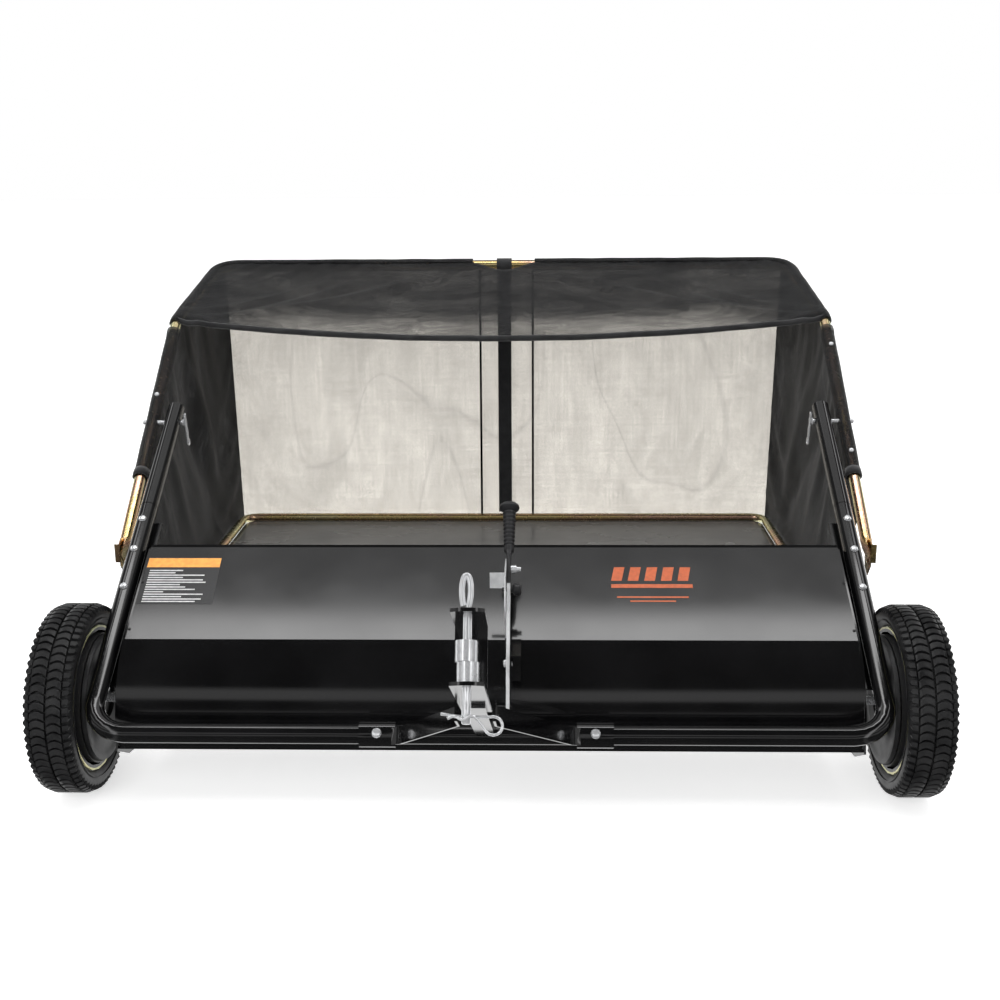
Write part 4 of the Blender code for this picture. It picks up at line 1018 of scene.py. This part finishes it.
def make_hitch_pin():
    """The pin, whose flattened top is bent into a tall loop, and its hair clip."""
    to_row = tongue_matrix() @ Matrix.Translation((0, -PIN_F, 0))
    loop_low = 0.079
    loop_top = 0.1165
    half = 0.0046
    path = [(0, -0.0375), (0, -0.0365), (0, 0.0), (0, 0.040), (0, loop_low - 0.004)]
    radii = [0.8, 1, 1, 1, 0.95]
    middle = (loop_low + loop_top) / 2
    for angle in spread(30, math.radians(-72), math.radians(228)):
        x = half * math.cos(angle) * (1.0 + 0.15 * math.sin(angle)) - 0.0016
        path.append((x, middle + (loop_top - loop_low) / 2 * math.sin(angle)))
        radii.append(0.66)
    points = [to_row @ Vector((x, 0, z)) for x, z in path]
    pin = pipe("hitch_pin_loop", points, PIN_R, CHROME, "hitch_pin", 24, radii=radii)
    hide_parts("hitch_pin")
    # The clip as (x, y, height above its foot): a straight leg, a ring, and a wavy leg back
    clip = [(-0.026, 0.0, 0.003), (-0.012, 0.0, 0.001), (0.0, 0.0, 0.0), (0.014, 0.0, 0.0)]
    ring = 0.0092
    for angle in spread(25, math.radians(105), math.radians(-157)):
        clip.append((0.0275 + ring * math.cos(angle), 0.0, ring * math.sin(angle) - 0.0088))
    front = -PIN_R - CLIP_WIRE - 0.0003
    clip += [
        (0.0120, front * 0.6, -0.0035),
        (0.0080, front * 0.9, 0.0002),
        (0.0045, front, 0.0004),
        (0.0000, front - 0.0004, -0.0028),
        (-0.0040, front, -0.0040),
        (-0.0085, front * 0.9, -0.0010),
        (-0.0130, front * 0.8, 0.0002),
        (-0.0190, front * 0.8, -0.0022),
    ]
    points = [to_row @ Vector((x, y, CLIP_FOOT + z)) for x, y, z in clip]
    spring = pipe("hitch_hair_clip", points, CLIP_WIRE, CHROME, "hitch_pin", 12)
    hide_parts("hitch_clip")


def make_arm_clips():
    """A long hair clip through the inner end of each hopper pin, hanging beside the arm."""
    wire = 0.0016
    ring = 0.0056
    path = [(-0.0020, 0.016), (-0.0020, -0.034)]
    for angle in spread(17, math.radians(165), math.radians(450)):
        path.append((0.0020 + ring * math.cos(angle), -0.0400 + ring * math.sin(angle)))
    path += [(0.0036, -0.028), (0.0058, -0.018), (0.0030, -0.008)]
    path += [(0.0056, 0.001), (0.0030, 0.008), (0.0060, 0.015)]
    lean = Matrix.Rotation(math.radians(14), 4, "X")
    for side_name, s in SIDES:
        low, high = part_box("hopper_pin_" + side_name)
        x = (high.x if s < 0 else low.x) - s * wire
        place = Matrix.Translation((x, PIVOT.y, PIVOT.z)) @ lean
        points = [place @ Vector((0, along, up)) for along, up in path]
        pipe("arm_clip_" + side_name, points, wire, CHROME, "chassis", 10)


def panel_point(x, t, lift=0.0):
    """A point on the hood's flat panel: t is 0 at the crease and 1 at the rear edge."""
    y = lerp(PANEL_CREASE[0], PANEL_REAR[0], t)
    z = lerp(PANEL_CREASE[1], PANEL_REAR[1], t)
    run = Vector((PANEL_REAR[0] - PANEL_CREASE[0], PANEL_REAR[1] - PANEL_CREASE[1])).normalized()
    return off_axle(x, y - run.y * lift, z + run.x * lift)


def make_small_screws():
    """Sheet screws along the hood's sides."""
    slope = math.atan2(PANEL_REAR[1] - PANEL_CREASE[1], PANEL_REAR[0] - PANEL_CREASE[0])
    flat = Matrix.Rotation(slope, 4, "X") @ Matrix.Translation((0, 0, PANEL_SKIN))
    head = [(0.0, 0.0014), (0.0014, 0.0012), (0.0022, 0.0006), (0.0024, 0.0)]
    for side_name, s in SIDES:
        for i, t in enumerate((0.10, 0.60)):
            place = Matrix.Translation(panel_point(s * SCREW_X, t)) @ flat
            turned(f"hood_screw_{side_name}_{i + 1}", head, place, PAINT, "chassis", 20)


# Lever


def make_grip():
    """The ribbed grip with its mushroom end, its flat sleeve on the bar, and the stop bolt."""
    place = Matrix.Translation(LEVER) @ Matrix.Rotation(-math.radians(43.3), 4, "X")
    top = 0.262
    profile = [(0.0, top), (0.0060, top - 0.0003), (0.0115, top - 0.0020), (0.0148, top - 0.0050)]
    profile += [(0.0155, top - 0.0085), (0.0140, top - 0.0112), (0.0105, top - 0.0135)]
    for i in range(9):
        base = top - 0.0165 - i * 0.0066
        radius = 0.0100 - 0.00022 * i
        profile += [(radius - 0.0013, base + 0.0012), (radius, base), (radius + 0.0001, base - 0.0022)]
        profile += [(radius - 0.0012, base - 0.0036)]
    profile += [(0.0078, 0.1815), (0.0072, 0.1790), (0.0, 0.1788)]
    grip = turned("ribbed_grip", profile, place, PLASTIC, "lever", 40)
    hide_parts("lever_grip")
    # Height, half width and half depth of the sleeve's rings
    sections = [(0.1795, 0.0060, 0.0078), (0.1755, 0.0040, 0.0085)]
    sections += [(0.173, 0.0033, 0.0090), (0.124, 0.0033, 0.0095)]
    bm = bmesh.new()
    rings = []
    for z, half_x, half_y in sections:
        ring = []
        for angle in turns(24):
            x = half_x * math.copysign(abs(math.cos(angle)) ** 0.4, math.cos(angle))
            y = half_y * math.copysign(abs(math.sin(angle)) ** 0.4, math.sin(angle))
            ring.append(bm.verts.new((x, y, z)))
        rings.append(ring)
    closed_skin(bm, rings)
    sleeve = mesh_from("grip_sleeve", bm, 40, place)
    new_piece("grip_sleeve", sleeve, PLASTIC, "lever")
    bolt = [(0.0, 0.0105), (0.0032, 0.0105), (0.0036, 0.0085), (0.0036, 0.0040)]
    bolt += [(0.0062, 0.0036), (0.0062, -0.0048), (0.0, -0.0048)]
    beside = Matrix.Translation((0.0075, 0.0, 0.1500)) @ Matrix.Rotation(math.pi / 2, 4, "Y")
    turned("index_stop_bolt", bolt, place @ beside, CHROME, "lever", 28)


# Decals


def patch(bm, x0, x1, t0, t1, lift, slant=0.0):
    """A thin printed shape on the hood's panel, between two places across and two up."""
    shift = (x1 - x0) * slant
    corners = [(x0, t0), (x1, t0), (x1 + shift, t1), (x0 + shift, t1)]
    low = [bm.verts.new(panel_point(x, t, lift)) for x, t in corners]
    high = [bm.verts.new(panel_point(x, t, lift + 0.00012)) for x, t in corners]
    bm.faces.new(high)
    bm.faces.new(list(reversed(low)))
    skin(bm, [low, high])


def printed(name, patches, material):
    bm = bmesh.new()
    for args in patches:
        patch(bm, *args)
    new_piece(name, mesh_from(name, bm, smooth=False), material, "chassis")


def make_decals():
    """A plain care sticker with an orange header and grey rules, and a plain orange bar mark."""
    on = PANEL_SKIN
    over = PANEL_SKIN + 0.00015
    rng = np.random.default_rng(3)
    printed("sticker_film", [(-0.548, -0.430, 0.365, 0.877, on)], FILM)
    printed("sticker_header", [(-0.547, -0.431, 0.770, 0.872, over)], AMBER)
    left = -0.541
    rules = []
    for i in range(14):
        level = 0.739 - 0.0262 * i
        length = 0.098 - abs(rng.normal(0, 0.022)) - (0.03 if i % 4 == 3 else 0)
        rules.append((left, left + max(0.03, length), level - 0.012, level, over))
    printed("sticker_rules", rules, PALE_PRINT)
    bars = []
    for x in spread(5, 0.188, 0.2912):
        bars.append((x, x + 0.0165, 0.625, 0.775, on, 0.35))
    bars.append((0.188, 0.314, 0.548, 0.588, on))
    bars.append((0.196, 0.306, 0.440, 0.456, on))
    bars.append((0.216, 0.286, 0.398, 0.412, on))
    printed("bar_mark", bars, ORANGE)


# Stage


def stage_plane(name, corners, height, material, camera=True, glossy=True):
    """A flat card at a height; it is left out of what the camera or the reflections see if asked."""
    bm = bmesh.new()
    bm.faces.new([bm.verts.new((x, y, height)) for x, y in corners])
    mesh = bpy.data.meshes.new(name)
    bm.to_mesh(mesh)
    bm.free()
    obj = linked(name, mesh)
    mesh.materials.append(material)
    obj.visible_camera = camera
    obj.visible_glossy = glossy
    obj.visible_shadow = camera


def make_floor():
    look = Look("stage_floor", Roughness=0.9, Emission_Color=(1, 1, 1, 1), Emission_Strength=0.62)
    look.tones(look.noise(0.8, 3.0), (0.3, (0.90, 0.90, 0.90)), (0.7, (0.93, 0.93, 0.93)))
    size = 30.0
    corners = [(-size, -size), (size, -size), (size, size), (-size, size)]
    stage_plane("floor", corners, -0.0008, look.material, glossy=False)


def make_overhead_card():
    """A soft card that lights the panel's gloss, bright in front and fading to the back."""
    material = bpy.data.materials.new("overhead_card")
    material.use_nodes = True
    nodes = Nodes(material.node_tree)
    nodes.tree.nodes.clear()
    y = nodes.component(nodes.add("ShaderNodeTexCoord").outputs["Object"], "Y")
    bright_to = AXLE.y + 0.300
    dim_from = AXLE.y + 0.405
    strength = nodes.span(y, bright_to, dim_from, 5.3, 0.75, interpolation_type="SMOOTHSTEP")
    glow = nodes.add("ShaderNodeEmission", {"Strength": strength}).outputs[0]
    nodes.add("ShaderNodeOutputMaterial", {"Surface": glow})
    front = AXLE.y + 0.05
    back = AXLE.y + 1.5
    half = 1.3
    corners = [(-half, front), (-half, back), (half, back), (half, front)]
    stage_plane("overhead_card", corners, 2.55, material, camera=False)


def area_light(name, place, target, size, power):
    """A soft light that only the diffuse surfaces see."""
    data = bpy.data.lights.new(name, "AREA")
    data.shape = "RECTANGLE"
    data.size = size[0]
    data.size_y = size[1]
    data.energy = power
    obj = linked(name, data)
    obj.location = place
    obj.rotation_euler = (Vector(target) - Vector(place)).to_track_quat("-Z", "Y").to_euler()
    obj.visible_glossy = False
    obj.visible_camera = False


def make_world():
    """White to the camera; reflections show bright sides and a dark middle, as between softboxes."""
    world = bpy.data.worlds.new("studio")
    bpy.context.scene.world = world
    world.use_nodes = True
    nodes = Nodes(world.node_tree)
    nodes.tree.nodes.clear()
    toward = nodes.add("ShaderNodeTexCoord").outputs["Generated"]
    x, y, z = [nodes.component(toward, name) for name in "XYZ"]

    def levels(value, *stops):
        """Radiance against a direction's component, as (component, radiance) pairs in 0..1."""
        return nodes.ramp(value, [(at, (level, level, level)) for at, level in stops])

    def background(strength):
        inputs = {"Color": (1, 1, 1, 1), "Strength": strength}
        return nodes.add("ShaderNodeBackground", inputs).outputs[0]

    strips = levels(nodes.math("ABSOLUTE", x), (0.47, 0.02), (0.51, 0.95), (0.58, 0.95), (0.62, 0.05))
    low_band = [(0.12, 0.60), (0.18, 0.03)]
    high_band = [(0.32, 0.03), (0.37, 0.65), (0.48, 0.65), (0.55, 0.03)]
    front = nodes.times(levels(z, *low_band, *high_band), nodes.math("LESS_THAN", y, 0.0))
    behind = nodes.math("GREATER_THAN", y, 0.3)
    back = nodes.times(levels(z, (0.26, 0.85), (0.36, 0.03)), behind)
    above = nodes.math("MAXIMUM", nodes.times(strips, 2.4), nodes.plus(front, back))
    lit = nodes.math("MAXIMUM", nodes.math("GREATER_THAN", z, -0.04), behind)
    radiance = nodes.times(above, nodes.math("MAXIMUM", lit, 0.14))
    rays = nodes.add("ShaderNodeLightPath").outputs
    unseen = nodes.mix(rays["Is Glossy Ray"], background(0.62), background(radiance))
    surface = nodes.mix(rays["Is Camera Ray"], unseen, background(1.0))
    nodes.add("ShaderNodeOutputWorld", {"Surface": surface})


def make_camera():
    """The photograph's viewing angle: from in front, a little right of the middle and above."""
    data = bpy.data.cameras.new("camera")
    data.lens = 45.9
    data.sensor_width = 36.0
    data.clip_start = 0.05
    camera = linked("camera", data)
    camera.location = off_axle(0.070, -1.812, 0.946)
    pan = Matrix.Rotation(math.radians(1.64), 3, "Z")
    pitch = Matrix.Rotation(math.radians(75), 3, "X")
    roll = Matrix.Rotation(math.radians(-0.45), 3, "Z")
    camera.rotation_euler = (pan @ pitch @ roll).to_euler()
    bpy.context.scene.camera = camera


def make_stage():
    make_floor()
    make_overhead_card()
    make_world()
    area_light("top_fill", (0, AXLE.y + 0.2, 3.2), (0, AXLE.y + 0.3, 0.3), (3.5, 3.5), 70)
    area_light("front_fill", (-1.2, AXLE.y - 3.0, 1.8), (0, AXLE.y, 0.3), (2.0, 1.5), 45)
    make_camera()
    bpy.context.scene.view_settings.view_transform = "Standard"


finish_nodes()
for wheel_side, sign in SIDES:
    make_tyre(wheel_side, sign)
    make_hub(wheel_side, sign)
make_brush()
make_cover()
make_cover_hem()
make_sleeves()
make_tube_ends()
make_sides()
make_back()
make_strap()
make_floor_sheet()
make_hitch_pin()
make_arm_clips()
make_small_screws()
make_grip()
make_decals()
make_stage()
